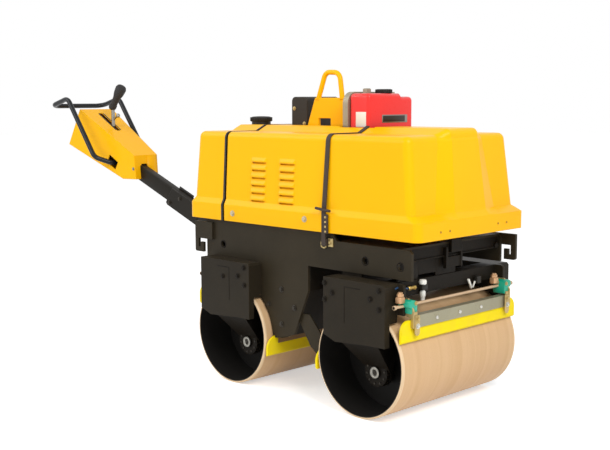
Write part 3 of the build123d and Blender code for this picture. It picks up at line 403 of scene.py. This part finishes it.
nodeFinish = {
    "bodyYellow": ("hood_rear_cover", "hood_middle_cover", "hood_front_cover", "lifting_bracket",
                   "control_box"),
    "drumSteel": ("front_drum", "rear_drum"),
    "strapDark": ("right_hood_strap", "left_hood_strap"),
    "rubberBlack": ("hood_seam_seal",),
    "tankRed": ("fuel_tank",),
    "plasticBlack": ("fuel_cap", "water_filler_cap"),
    "boxBlack": ("air_cleaner_box", "travel_lever"),
    "castGrey": ("engine_shroud", "engine_block", "tank_breather"),
    "pinSteel": ("handle_pin",),
    "tubeBlack": ("handlebar",),
    "barBlack": ("drawbar",),
    # these pieces take the darker copy of the frame paint, painted shade
    "frameBlackPaintedShade": ("front_drum_yoke", "front_cross_member", "rear_cross_member", "centre_cross_plate"),
    "innerBar": ("front_inner_scraper_bar", "rear_inner_scraper_bar"),
}
# drum arms take the darker copy of the frame paint, painted shade
endings = {"drum_case": "caseBlack", "drum_arm": "frameBlackPaintedShade", "scraper_blade": "bladeYellow",
           "scraper_bar": "barGrey", "sprinkler_pipe": "pipeTan"}


def finishOf(name):
    for made, names in nodeFinish.items():
        if name in names:
            return made
    for ending, made in endings.items():
        if name.endswith(ending):
            return made
    return "zincYellow" if "outer" in name and name.endswith("bracket") else "frameBlack"


for name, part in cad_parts.items():
    part.data.materials.clear()
    part.data.materials.append(finishes[finishOf(name)])
print("finishes on the frame")


# Shapes for the small pieces, made in millimetres

toMetres = Matrix.Diagonal((0.001, 0.001, 0.001, 1))
parallel = 1e-4                          # two directions whose cross product is shorter are one line
welded = 1e-3                            # corners this near to each other are one
middlePlace = Matrix.Translation((middle, 0, 0))   # for shapes drawn at their places about the middle


def facing(place, out, up=(0, 0, 1)):    # matrix of a piece at `place` in millimetres, its Z along `out`
    z = Vector(out).normalized()
    x = Vector(up).cross(z)
    x = x.normalized() if x.length > parallel else Vector((1, 0, 0))
    turn = Matrix((x, z.cross(x), z)).transposed().to_4x4()
    return Matrix.Translation(at(*place)) @ turn


def put(shape, piece, matrix):           # adds a finished bmesh, in millimetres, to the piece's own
    bmesh.ops.transform(piece, matrix=matrix @ toMetres, verts=piece.verts)
    mesh = bpy.data.meshes.new("scratch")
    piece.to_mesh(mesh)
    piece.free()
    shape.from_mesh(mesh)
    bpy.data.meshes.remove(mesh)


def around(count, radius, shift=0.0):    # the angle and place of each piece of a ring
    for i in range(count):
        a = 2 * math.pi * (i + shift) / count
        yield a, radius * math.cos(a), radius * math.sin(a)


def turned(profile, sides=24, turn=0.0):  # lathe work: (radius, height) pairs, radius 0 closes an end
    piece = bmesh.new()
    way = Matrix.Rotation(turn, 3, "Z")
    verts = [piece.verts.new(way @ Vector((radius, 0, height))) for radius, height in profile]
    edges = [piece.edges.new(pair) for pair in zip(verts, verts[1:])]
    bmesh.ops.spin(piece, geom=verts + edges, cent=(0, 0, 0), axis=(0, 0, 1), angle=2 * math.pi,
                   steps=sides, use_merge=True)
    bmesh.ops.remove_doubles(piece, verts=piece.verts, dist=welded)
    return piece


def block(size, round=1.0, steps=2):     # a box with rounded edges, centred on the origin
    piece = bmesh.new()
    bmesh.ops.create_cube(piece, size=1)
    bmesh.ops.scale(piece, vec=size, verts=piece.verts)
    bmesh.ops.bevel(piece, geom=piece.edges[:], affect="EDGES", offset=round, segments=steps, profile=0.5,
                    material=-1)
    return piece


def between(low, high, round=1.0, steps=2):   # the same, from its lowest corner to its highest
    low, high = Vector(low), Vector(high)
    piece = block(high - low, round, steps)
    bmesh.ops.translate(piece, vec=(low + high) / 2, verts=piece.verts)
    return piece


def risen(shape, outline, thick):        # raises a face of any outline, and gives the corners that moved
    face = shape.faces.new([shape.verts.new(corner) for corner in outline])
    raised = bmesh.ops.extrude_face_region(shape, geom=[face])["geom"]
    moved = [item for item in raised if isinstance(item, bmesh.types.BMVert)]
    bmesh.ops.translate(shape, vec=thick, verts=moved)
    bmesh.ops.recalc_face_normals(shape, faces=shape.faces)
    return moved


def plate(outline, thick, round=0.8):    # a flat piece of any outline, its back on the plane Z = 0
    piece = bmesh.new()
    moved = risen(piece, [(x, y, 0) for x, y in outline], (0, 0, thick))
    rim = [edge for edge in piece.edges if all(vert in moved for vert in edge.verts)]
    bmesh.ops.bevel(piece, geom=rim, affect="EDGES", offset=round, segments=2, profile=0.5, material=-1)
    return piece


def oblong(left, right, low, top):       # a plate's outline with four corners
    return [(left, low), (right, low), (right, top), (left, top)]


def tube(points, radius, sides=12):      # a round bar through points in millimetres about the middle
    piece = bmesh.new()
    places = [Vector(point) for point in points]
    last = len(places) - 1
    side = (places[1] - places[0]).orthogonal()
    rings = []
    for i, place in enumerate(places):
        along = (places[min(i + 1, last)] - places[max(i - 1, 0)]).normalized()
        side = (side - along * side.dot(along)).normalized()
        turn = Matrix((along.cross(side), side, -along)).transposed().to_4x4()
        ring = bmesh.ops.create_circle(piece, cap_ends=i in (0, last), segments=sides, radius=radius,
                                       matrix=Matrix.Translation(place) @ turn)["verts"]
        rings.append(list(dict.fromkeys(edge for vert in ring for edge in vert.link_edges)))
    for low, high in zip(rings, rings[1:]):
        bmesh.ops.bridge_loops(piece, edges=low + high)
    return piece


# shares of the head's width: (radius, height), a bolt's head standing on its washer
boltForm = {"washer": ((0, 0), (0.72, 0), (0.74, 0.048), (0.72, 0.16), (0.3, 0.16)), "washerTall": 0.16,
            "headFoot": 0.49, "head": ((0.5, 0.02), (0.5, 0.3), (0.42, 0.36), (0, 0.36)),
            "sunk": 0.01}                # the head's foot goes this far into the washer, in millimetres
screwForm = ((0.5, 0), (0.5, 0.08), (0.42, 0.24), (0.22, 0.34), (0.13, 0.35), (0.08, 0.24), (0, 0.22))
hexagon = 6
washerSides = 28


def scaled(form, size, base=0):          # a form's shares made millimetres, from the height `base`
    return [(radius * size, base + height * size) for radius, height in form]


def hexBolt(shape, place, out, size, washer=True, turn=0.3):   # size is the head's width across corners
    where = facing(place, out)
    base = boltForm["washerTall"] * size if washer else 0
    if washer:
        put(shape, turned(scaled(boltForm["washer"], size), washerSides), where)
    foot = [(boltForm["headFoot"] * size, base - boltForm["sunk"])]
    put(shape, turned(foot + scaled(boltForm["head"], size, base), hexagon, turn), where)


def panScrew(shape, place, out, size):   # round head with a cross recess's hollow
    put(shape, turned(scaled(screwForm, size)), facing(place, out))


def keep(name, shape, finish, body="root", crease=35):   # makes the finished shape a piece of the roller
    mesh = bpy.data.meshes.new(name)
    bmesh.ops.recalc_face_normals(shape, faces=shape.faces)
    shape.to_mesh(mesh)
    shape.free()
    mesh.shade_smooth()
    mesh.set_sharp_from_angle(angle=math.radians(crease))
    mesh.materials.append(finishes[finish])
    made = bpy.data.objects.new(name, mesh)
    bpy.context.scene.collection.objects.link(made)
    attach(made, body)
    return made


# Cases, frames and drives

cases = {"plane": 382, "boltSize": 15, "boltTurn": 0.4,
         "front": ((-145, 499), (-106, 466), (-145, 436), (124, 501), (83, 466), (125, 433)),
         "rear": ((121, 503), (83, 466), (124, 432), (-10, 455)),
         "seamX": {"front": -45, "rear": 29}, "seamLow": 360, "seamTop": 497, "seamBar": 78,
         "seamWide": 3.2, "seamDeep": 2, "seamRound": 0.8}


def dressCases(look):                    # bolts, and a seam that goes up and along each case
    bolts = bmesh.new()
    seams = bmesh.new()
    low, top, wide, deep = look["seamLow"], look["seamTop"], look["seamWide"], look["seamDeep"]
    for end, axle, way in (("front", frontAxle, 1), ("rear", rearAxle, -1)):
        start = (axle.x - middle) * 1000
        for side in (-1, 1):
            out, plane = (0, side, 0), side * look["plane"]
            for i, (x, z) in enumerate(look[end]):
                hexBolt(bolts, (start + x, plane, z), out, look["boltSize"], True, look["boltTurn"] * i)
            x = start + look["seamX"][end]
            put(seams, block((wide, top - low, deep), look["seamRound"]),
                facing((x, plane, (low + top) / 2), out))
            put(seams, block((look["seamBar"], wide, deep), look["seamRound"]),
                facing((x + way * look["seamBar"] / 2, plane, top - wide / 2), out))
    keep("caseBolts", bolts, "frameBlackPaintedShade")
    keep("caseSeams", seams, "seamBrown")


sideFrames = {"face": 312, "boltSize": 16, "boltTurn": 0.5,
              "bolts": ((-91, 425), (-18, 359), (-167, 355), (-92, 283)),
              "holes": {-1: ((-448, 575), (358, 588), (527, 584)), 1: ((-448, 575), (358, 588))},
              "rim": ((13, 0), (13, 1.28), (14, 1.6), (16.5, 1.6), (17.5, 0)), "rimSides": 32}


def dressFrames(look):
    bolts = bmesh.new()
    rims = bmesh.new()
    for side in (-1, 1):
        out, face = (0, side, 0), side * look["face"]
        for i, (x, z) in enumerate(look["bolts"]):
            hexBolt(bolts, (x, face, z), out, look["boltSize"], True, look["boltTurn"] * i)
        for x, z in look["holes"][side]:
            put(rims, turned(look["rim"], look["rimSides"]), facing((x, face, z), out))
    keep("frameBolts", bolts, "boltDark")
    keep("holeRims", rims, "frameBlackPaintedShade")


drives = {"nose": 261, "height": 157.5, "nut": ((9.5, 0.6), (8, 1.6), (4.5, 4.2), (0, 4.6)),
          "ring": ((10, 0.5), (12, 3.5), (15, 5), (20, 5), (22.5, 3.5), (23.5, 0)), "ringSides": 40,
          "boltFace": 254, "bolts": 10, "boltRing": 44, "boltShift": 0.3, "boltSize": 9,
          "ribFace": 244, "ribs": 20, "ribRing": 53, "ribSize": (5, 7, 20), "ribRound": 1.2}


def dressDrives(look):                   # ring, nut, bolts and cooling ribs of the drive in each drum's end
    rings = bmesh.new()
    bolts = bmesh.new()
    ribs = bmesh.new()
    height = look["height"]
    for axle in (frontAxle, rearAxle):
        x = (axle.x - middle) * 1000
        for side in (-1, 1):
            out = (0, side, 0)
            nose = facing((x, side * look["nose"], height), out)
            put(rings, turned(look["ring"], look["ringSides"]), nose)
            put(bolts, turned(look["nut"]), nose)
            for a, over, up in around(look["bolts"], look["boltRing"], look["boltShift"]):
                hexBolt(bolts, (x + over, side * look["boltFace"], height + up), out, look["boltSize"],
                        False, a)
            for a, over, up in around(look["ribs"], look["ribRing"]):
                spot = (x + over, side * look["ribFace"], height + up)
                put(ribs, block(look["ribSize"], look["ribRound"]),
                    facing(spot, out, (math.cos(a), 0, math.sin(a))))
    keep("driveRings", rings, "pinSteel")
    keep("driveBolts", bolts, "boltDark")
    keep("driveRibs", ribs, "frameBlack")


dressCases(cases)
dressFrames(sideFrames)
dressDrives(drives)
print("frames dressed")


# Scrapers, sprinkler pipes and their fittings

scraper = {"barFace": 570.6, "screws": (-155, -16, 117), "screwHeight": 385, "screwSize": 15,
           "tabFace": 576.8, "tabMiddle": 278, "tabHalf": 13, "tabLow": 337, "tabTop": 412, "tabThick": 4,
           "tabArc": 15, "tabBolts": (398, 372), "boltSize": 14, "boltTurn": 0.4,
           "innerX": -129.3, "innerHeight": 221, "innerScrews": (-235, -120, 0, 120, 235), "innerTurn": 0.2}


def dressScrapers(look):
    screws = bmesh.new()
    tabs = bmesh.new()
    bolts = bmesh.new()
    half, foot = look["tabHalf"], look["tabLow"] + look["tabHalf"]
    corners = [math.radians(a) for a in range(180, 361, look["tabArc"])]   # round foot, straight top
    outline = [(half * math.cos(a), half * math.sin(a)) for a in corners]
    outline += [(half, look["tabTop"] - foot), (-half, look["tabTop"] - foot)]
    for way in (1, -1):
        out = (way, 0, 0)
        for y in look["screws"]:
            panScrew(screws, (way * look["barFace"], y, look["screwHeight"]), out, look["screwSize"])
        for y in (-look["tabMiddle"], look["tabMiddle"]):
            put(tabs, plate(outline, look["tabThick"]), facing((way * look["tabFace"], y, foot), out))
            front = way * (look["tabFace"] + look["tabThick"])
            for i, (z, shape) in enumerate(zip(look["tabBolts"], (bolts, screws))):
                hexBolt(shape, (front, y, z), out, look["boltSize"], True, look["boltTurn"] + i)
    for y in look["innerScrews"]:
        hexBolt(bolts, (look["innerX"], y, look["innerHeight"]), (1, 0, 0), look["boltSize"], True,
                look["innerTurn"])
    keep("barScrews", screws, "screwPale")
    keep("scraperTabs", tabs, "zincYellow")
    keep("scraperBolts", bolts, "zincYellow")


clamps = {"x": 546, "middle": 286, "z": 444, "deep": 54, "round": 4,
          "outline": ((-13, -30), (13, -30), (17, -20), (17, 8), (10, 19), (-2, 23), (-16, 24), (-26, 20),
                      (-30, 10), (-27, -2), (-17, -7), (-17, -20)),
          "boltX": 573, "boltIn": 6, "boltZ": 455, "boltSize": 11,
          "elbow": (540, -42, 468), "elbowSize": (30, 25, 27), "elbowRound": 6, "capZ": 480.5,
          "cap": ((12, 0), (13, 2), (13, 9), (9, 12), (9, 16), (0, 16)),
          "hose": 7, "hoseFrom": (12, 460), "hoseTo": (-16, 456),
          "end": (540, 352), "endProfile": ((5.6, 0), (8, 1), (8, 10), (6.5, 11), (0, 11)), "endSides": 20}


def dressPipe(look):                     # clamps with an ear up and outward, elbows and the pipes' ends
    teal = bmesh.new()
    copper = bmesh.new()
    bolts = bmesh.new()
    ends = bmesh.new()
    elbowX, elbowY, elbowZ = look["elbow"]
    endX, endY = look["end"]
    for way in (1, -1):
        out = (way, 0, 0)
        for side in (-1, 1):
            y = side * look["middle"]
            clamp = plate(look["outline"], look["deep"], look["round"])
            if way * side > 0:
                bmesh.ops.scale(clamp, vec=(-1, 1, 1), verts=clamp.verts)
                bmesh.ops.reverse_faces(clamp, faces=clamp.faces)
            put(teal, clamp, facing((way * (look["x"] - look["deep"] / 2), y, look["z"]), out))
            x, over = way * elbowX, y + elbowY
            put(copper, block(look["elbowSize"], look["elbowRound"], 3), facing((x, over, elbowZ), out))
            put(copper, turned(look["cap"], hexagon), facing((x, over, look["capZ"]), (0, 0, 1), (1, 0, 0)))
            (fromY, fromZ), (toY, toZ) = look["hoseFrom"], look["hoseTo"]
            put(copper, tube([(x, over + fromY, fromZ), (x, y + toY, toZ)], look["hose"]), middlePlace)
            hexBolt(bolts, (way * look["boltX"], y - side * look["boltIn"], look["boltZ"]), out,
                    look["boltSize"])
            put(ends, turned(look["endProfile"], look["endSides"]),
                facing((way * endX, side * endY, look["z"]), (0, side, 0)))
    keep("pipeClamps", teal, "clampTeal")
    keep("hoseFittings", copper, "fittingCopper")
    keep("clampBolts", bolts, "zincYellow")
    keep("pipeEnds", ends, "pipeTan")


# a block is its place, size, rounding, rounding steps and the way its length leans
water = {"x": 515, "nozzleFrom": (-170, 484), "knobFrom": (-170, 500), "brassFrom": (-254, 497),
         "nozzle": ((0, 0), (7, 0), (7.5, 6), (11, 8), (11, 24), (9, 27), (8, 40), (5, 43), (0, 43)),
         "knob": ((0, 0), (9, 0), (14, 4), (15, 14), (12, 20), (0, 22)),
         "brass": ((6, 0), (8, 2), (8, 12), (6, 14), (6, 30), (8, 31), (8, 40), (6, 42)),
         "pipe": ((-326, 504), (-310, 509), (-286, 504), (-252, 497)), "pipeRadius": 3.2,
         "stems": (((515, 119, 468), (9, 44, 9), 3, 2, (0, -0.55, 1)),
                   ((515, 145, 462), (6, 28, 6), 2, 2, (0, 0.6, 1))),
         "tees": (((515, -170, 492), (30, 22, 22), 4, 3, (0, 0, 1)),
                  ((511, -148, 490), (12, 30, 14), 3, 2, (0, 0, 1)),
                  ((515, 169, 478), (26, 30, 20), 4, 3, (0, 0, 1)))}


def dressWater(look):                    # the two feeds at the front sprinkler and the pipe to the first
    white = bmesh.new()
    dark = bmesh.new()
    brass = bmesh.new()
    blue = bmesh.new()
    x = look["x"]
    put(white, turned(look["nozzle"]), facing((x, *look["nozzleFrom"]), (0, 0, -1), (1, 0, 0)))
    put(white, turned(look["knob"]), facing((x, *look["knobFrom"]), (0, 0, 1), (1, 0, 0)))
    put(brass, turned(look["brass"], hexagon), facing((x, *look["brassFrom"]), (0, 1, 0)))
    put(blue, tube([(x, y, z) for y, z in look["pipe"]], look["pipeRadius"]), middlePlace)
    for shape, rows in ((white, look["stems"]), (dark, look["tees"])):
        for place, size, round, steps, lean in rows:
            put(shape, block(size, round, steps), facing(place, (1, 0, 0), lean))
    keep("waterNozzles", white, "nozzleWhite")
    keep("waterTees", dark, "plasticBlack")
    keep("waterBrass", brass, "fittingBrass")
    keep("waterFeedPipe", blue, "pipeBlue")


rearBrackets = {"faceY": 293.8, "thick": 6, "names": {-1: "right", 1: "left"},
                "outline": ((25, 300), (95, 300), (75, 235), (30, 222), (0.6, 222), (0.6, 245))}


def trimRearBrackets(look):              # as the solids, with the tips that reach over the blade cut off
    bladeFace = (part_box("rear_inner_scraper_blade")[1].x - middle) * 1000
    for side, name in look["names"].items():
        shape = bmesh.new()
        outline = [(-side * out, z) for out, z in look["outline"]]
        put(shape, plate(outline, look["thick"]), facing((bladeFace, side * look["faceY"], 0), (0, side, 0)))
        made = keep(name + "RearInnerBracket", shape, "frameBlack")
        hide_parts(f"rear_inner_{name}_bracket")


crossPlate = {"back": 497.2, "front": 504.8, "low": 524, "high": 609,
              "sides": ((-299.6, -185.2), (-81.8, 40))}


def widenCross(look):                    # plate behind the front cross member, on both sides of its lug
    shape = bmesh.new()
    for right, left in look["sides"]:
        put(shape, between((look["back"], right, look["low"]), (look["front"], left, look["high"])),
            middlePlace)
    keep("frontCrossPlate", shape, "frameBlackPaintedShade")


trimRearBrackets(rearBrackets)
widenCross(crossPlate)
dressScrapers(scraper)
dressPipe(clamps)
dressWater(water)
print("scrapers dressed")


# Hood, strap and engine

hood = {"side": 328, "sideBolts": ((-367, 712), (57, 721)), "boltSize": 17, "front": 619.5,
        "frontScrews": ((-201, 707), (-147, 707), (150, 709), (206, 709)), "screwSize": 9}


def dressHood(look):
    bolts = bmesh.new()
    screws = bmesh.new()
    for side in (-1, 1):
        for i, (x, z) in enumerate(look["sideBolts"]):
            hexBolt(bolts, (x, side * look["side"], z), (0, side, 0), look["boltSize"], True, i)
    for y, z in look["frontScrews"]:
        panScrew(screws, (look["front"], y, z), (1, 0, 0), look["screwSize"])
    keep("skirtBolts", bolts, "boltBeige")
    keep("skirtScrews", screws, "screwBrown")


edging = {"node": "hood_rear_cover", "wide": 0.010, "proud": 0.0016, "weld": 1e-6, "level": 1e-3}


def trimSeam(look):                      # rubber edging round the rear cover's front edge
    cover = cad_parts[look["node"]]
    shape = bmesh.new()
    shape.from_mesh(cover.data)
    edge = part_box(look["node"])[1].x
    bmesh.ops.bisect_plane(shape, geom=shape.verts[:] + shape.edges[:] + shape.faces[:], dist=look["weld"],
                           plane_co=(edge - look["wide"], 0, 0), plane_no=(1, 0, 0), clear_inner=True)
    bmesh.ops.remove_doubles(shape, verts=shape.verts, dist=look["weld"])
    shape.normal_update()
    for vert in shape.verts:
        flat = Vector((0, vert.normal.y, vert.normal.z))
        if flat.length > look["level"]:  # a corner that looks straight along X stays
            vert.co += flat.normalized() * look["proud"]
    keep("hoodSeamEdging", shape, "rubberBlack")


louvres = {"node": "hood_middle_cover", "columns": (-224, -58), "between": -141, "low": 770.5, "pitch": 31,
           "rows": 6, "outside": 600, "behind": 7.5, "size": (82, 12, 1.6), "round": 0.5}


def backLouvres(look):                   # baffle strip behind each slot
    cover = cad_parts[look["node"]]
    shape = bmesh.new()
    for side in (-1, 1):
        for row in range(look["rows"]):
            z = look["low"] + row * look["pitch"]
            start = at(look["between"], side * look["outside"], z)
            hit, spot, normal, _ = cover.ray_cast(start, Vector((0, -side, 0)))
            if not hit:
                continue
            back = spot * 1000 - normal * look["behind"]
            for column in look["columns"]:
                put(shape, block(look["size"], look["round"]), facing((column, back.y, back.z), normal))
    keep("louvreBaffles", shape, "bodyYellow")


fillerCap = {"collar": ((42.3, 12), (46, 12), (47, 14), (47, 28), (43, 32), (36, 34), (14, 35.4), (0, 35.4)),
             "collarSides": 48, "ribs": 28, "ribRing": 47, "ribHeight": 22.5, "ribSize": (5, 17, 3.4)}


def dressFillerCap(look):                # ribbed collar round the water filler's cap
    low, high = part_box("water_filler_cap")
    place = Matrix.Translation(((low.x + high.x) / 2, 0, low.z))
    shape = bmesh.new()
    put(shape, turned(look["collar"], look["collarSides"]), place)
    for a, x, y in around(look["ribs"], look["ribRing"]):
        spot = Matrix.Translation(Vector((x, y, look["ribHeight"])) / 1000)
        put(shape, block(look["ribSize"]), place @ spot @ Matrix.Rotation(a, 4, "Z")
            @ Matrix.Rotation(math.pi / 2, 4, "X"))
    keep("fillerCapCollar", shape, "plasticBlack")


tank = {"round": 17, "roundSteps": 5, "topStep": 13, "stepY": 125, "crease": 50}


def shapeTank(look):                     # pressed tank of the solid's outline, with rounded corners
    low, high = (corner * 1000 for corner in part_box("fuel_tank"))
    step, stepY = look["topStep"], look["stepY"]
    outline = [(low.y, low.z), (high.y, low.z), (high.y, high.z - step), (stepY + step, high.z - step),
               (stepY, high.z), (low.y, high.z)]
    piece = bmesh.new()
    back = low.x - middle * 1000
    risen(piece, [(back, y, z) for y, z in outline], (high.x - low.x, 0, 0))

    def soft(edge):                      # not the edges of the base, nor those along the step in the top
        first, second = (vert.co for vert in edge.verts)
        onBase = max(first.z, second.z) < low.z + 1
        onStep = min(first.y, second.y) > stepY - 1 and max(first.y, second.y) < high.y - 1
        return not onBase and not (onStep and abs(first.x - second.x) > 1)

    bmesh.ops.bevel(piece, geom=[edge for edge in piece.edges if soft(edge)], affect="EDGES",
                    offset=look["round"], segments=look["roundSteps"], profile=0.5, material=-1,
                    clamp_overlap=True)
    shape = bmesh.new()
    put(shape, piece, middlePlace)
    made = keep("pressedTank", shape, "tankRed", crease=look["crease"])
    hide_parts("fuel_tank")


# places are those on the left side, and are mirrored to the right one
strap = {"grip": ((128, 338, 770), (152, 340, 768), (176, 340, 765), (202, 338, 763)), "gripRadius": 5.5,
         "gripSides": 14, "buckle": (178, 335, 713), "buckleSize": (22, 74, 6), "buckleRound": 2,
         "rivets": ((178, 337.5, 738), (178, 337.5, 720), (178, 337.5, 702), (178, 337.5, 684)),
         "rivetSize": 9, "plate": (184, 312.2, 640), "plateSize": (-13, 13, -16, 16), "plateThick": 5,
         "bolt": (184, 317, 640), "boltSize": 12, "hookRadius": 3.5,
         "hook": ((146, 318, 654), (142, 322, 636), (146, 324, 622), (158, 322, 618), (166, 318, 626))}


def sided(place, side):                  # side is 1 on the left and -1 on the right
    return (place[0], side * place[1], place[2])


def dressStrap(look):
    dark = bmesh.new()
    zinc = bmesh.new()
    for side in (-1, 1):
        out = (0, side, 0)
        grip = [sided(place, side) for place in look["grip"]]
        put(dark, tube(grip, look["gripRadius"], look["gripSides"]), middlePlace)
        put(dark, block(look["buckleSize"], look["buckleRound"]), facing(sided(look["buckle"], side), out))
        for rivet in look["rivets"]:
            panScrew(zinc, sided(rivet, side), out, look["rivetSize"])
        put(zinc, plate(oblong(*look["plateSize"]), look["plateThick"]),
            facing(sided(look["plate"], side), out))
        hexBolt(zinc, sided(look["bolt"], side), out, look["boltSize"])
        put(zinc, tube([sided(place, side) for place in look["hook"]], look["hookRadius"]), middlePlace)
    keep("strapLatch", dark, "strapDark")
    keep("strapHook", zinc, "zincYellow")


# a plate is its left, right, low and top edges, its thickness and its rounding
engine = {"labelFace": -68, "label": ((87, 141, 1071, 1130), 1.2, 0.5),
          "frontFace": 155, "front": ((11, 166, 1086, 1118), 1.0, 0.5),
          "insetFace": 156, "inset": ((16, 150, 1090, 1114), 0.6, 0.3),
          "cap": (100, 84), "ribs": 22, "ribRing": 33.5, "ribHeight": 1212, "ribSize": (4, 14, 3),
          "boxFace": 6, "screws": ((-340, 1142), (-279, 1078)), "screwSize": 12}


def dressEngine(look):
    ribs = bmesh.new()
    capX, capY = look["cap"]
    for a, x, y in around(look["ribs"], look["ribRing"]):
        put(ribs, block(look["ribSize"]),
            facing((capX + x, capY + y, look["ribHeight"]), (math.cos(a), math.sin(a), 0)))
    keep("capRibs", ribs, "plasticBlack")
    onSide = facing((0, look["labelFace"], 0), (0, -1, 0))
    onFront = facing((look["frontFace"], 0, 0), (1, 0, 0))
    onPlate = facing((look["insetFace"], 0, 0), (1, 0, 0))
    for name, key, place, finish in (("tankLabelPlate", "label", onSide, "plateWhite"),
                                     ("tankFrontPlate", "front", onFront, "pinSteel"),
                                     ("tankFrontInset", "inset", onPlate, "boxBlack")):
        outline, thick, round = look[key]
        shape = bmesh.new()
        put(shape, plate(oblong(*outline), thick, round), place)
        keep(name, shape, finish)
    screws = bmesh.new()
    for x, z in look["screws"]:
        hexBolt(screws, (x, look["boxFace"], z), (0, -1, 0), look["screwSize"])
    keep("boxScrews", screws, "zincYellow")


dressHood(hood)
trimSeam(edging)
backLouvres(louvres)
dressFillerCap(fillerCap)
shapeTank(tank)
dressStrap(strap)
dressEngine(engine)
print("hood dressed")


# Handle

# on the drawbar: X runs along it from its pin, Y rises square to it, Z is to the left
drawbar = {"slope": 20.8, "pin": (-700, 544), "tube": ((240, -38, -38), (1090, 37, 2)), "tubeRound": 4,
           "fork": ((40, -52, -42), (290, 52, 42)), "forkRound": 2,
           "eye": ((14.2, -42), (50, -42), (52, -40), (52, 40), (50, 42), (14.2, 42), (14.2, -42)),
           "eyeSides": 48, "cheek": ((270, -54), (504, -54), (516, -46), (494, 38), (270, 38)),
           "cheekSide": -44, "cheekThick": 6, "cheekRound": 1, "bolts": ((488, -36), (421, 14)),
           "washer": ((0, 0), (11.2, 0), (11.2, 2), (8, 2)),
           "head": ((8, 1.9), (8, 6.08), (6.72, 7.04), (0, 7.04)), "headTurn": 0.3,
           "stop": ((374, 36.5, -4.5), (488, 48.5, 2.5)), "stopRound": 3}


def shapeDrawbar(look):                  # tube set to the right of the middle, in a fork on the pin
    a = math.radians(look["slope"])
    x, z = look["pin"]
    turn = Matrix(((-math.cos(a), math.sin(a), 0), (0, 0, 1), (math.sin(a), math.cos(a), 0))).to_4x4()
    place = Matrix.Translation(at(x, 0, z)) @ turn
    side = Matrix.Translation((0, 0, look["cheekSide"] / 1000))
    shape = bmesh.new()
    put(shape, between(*look["tube"], look["tubeRound"], 3), place)
    put(shape, between(*look["fork"], look["forkRound"]), place)
    put(shape, turned(look["eye"], look["eyeSides"]), place)
    put(shape, plate(look["cheek"], look["cheekThick"], look["cheekRound"]), place @ side)
    made = keep("drawbarFrame", shape, "barBlack", "handle")
    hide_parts("drawbar")
    bolts = bmesh.new()
    for run, rise in look["bolts"]:
        spot = (place @ Matrix.Translation((run / 1000, rise / 1000, 0)) @ side
                @ Matrix.Rotation(math.pi, 4, "X"))
        put(bolts, turned(look["washer"], washerSides), spot)
        put(bolts, turned(look["head"], hexagon, look["headTurn"]), spot)
    keep("drawbarBolts", bolts, "boltDark", "handle")
    stop = bmesh.new()
    put(stop, between(*look["stop"], look["stopRound"], 3), place)
    keep("drawbarStop", stop, "rubberBlack", "handle")


controls = {"facePlate": (-1412.2, 36, 845.5), "faceSize": (1.8, 63, 116), "faceTilt": -4.8, "faceRound": 0.8,
            "screw": (-1427, 70.2, 838), "screwLean": -0.07, "screwSize": 12,
            "slot": (-1730, 14, 1070), "slotTilt": 27.9, "slotTrim": (178, 7, 1.6), "slotRound": 0.6,
            "knob": (-1663, 0, 1100), "knobWay": (1, 0, 0.2), "knobRadius": 11, "knobArc": (20, 180, 16),
            "stem": ((-1697, 0, 1078), (-1661, 0, 1099)), "stemRadius": 5, "leverFoot": (-1697, 0, 1046),
            "sleeve": ((8.3, 0), (9.5, 1), (9.5, 88), (13.5, 89), (13.5, 100), (8.3, 100)), "sides": 28,
            "gripFoot": (-1697, 0, 1150), "gripWay": (75, 0, 88), "gripSides": 32,
            "grip": ((0, -16), (9, -16), (17, -14), (20, -6), (20.1, 6), (17, 20), (18.1, 46), (20, 62),
                     (25.1, 82), (27, 100), (28.1, 118), (24, 128), (16, 133), (0, 134))}


def dressControls(look):                 # the control box's face plate, screws and slot, the lever's fittings
    face = bmesh.new()
    tilt = Matrix.Rotation(math.radians(look["faceTilt"]), 4, "Y")
    put(face, block(look["faceSize"], look["faceRound"]), Matrix.Translation(at(*look["facePlate"])) @ tilt)
    keep("boxFacePlate", face, "bodyYellow", "handle")
    steel = bmesh.new()
    rubber = bmesh.new()
    tilt = Matrix.Rotation(math.radians(look["slotTilt"]), 4, "Y")
    for side in (-1, 1):
        hexBolt(steel, sided(look["screw"], side), (look["screwLean"], side, 0), look["screwSize"])
        put(rubber, block(look["slotTrim"], look["slotRound"]),
            Matrix.Translation(at(*sided(look["slot"], side))) @ tilt)
    r = look["knobRadius"]
    arc = [math.radians(a) for a in range(*look["knobArc"])]
    ball = [(0, 0)] + [(r * math.sin(a), r - r * math.cos(a)) for a in arc] + [(0, 2 * r)]
    put(steel, turned(ball, look["sides"]), facing(look["knob"], look["knobWay"]))
    put(steel, tube(look["stem"], look["stemRadius"]), middlePlace)
    put(steel, turned(look["sleeve"], look["sides"]), facing(look["leverFoot"], (0, 0, 1), (1, 0, 0)))
    put(rubber, turned(look["grip"], look["gripSides"]), facing(look["gripFoot"], look["gripWay"]))
    keep("leverFittings", steel, "pinSteel", "handle")
    keep("leverGrip", rubber, "rubberBlack", "handle")


shapeDrawbar(drawbar)
dressControls(controls)
print("handle dressed")
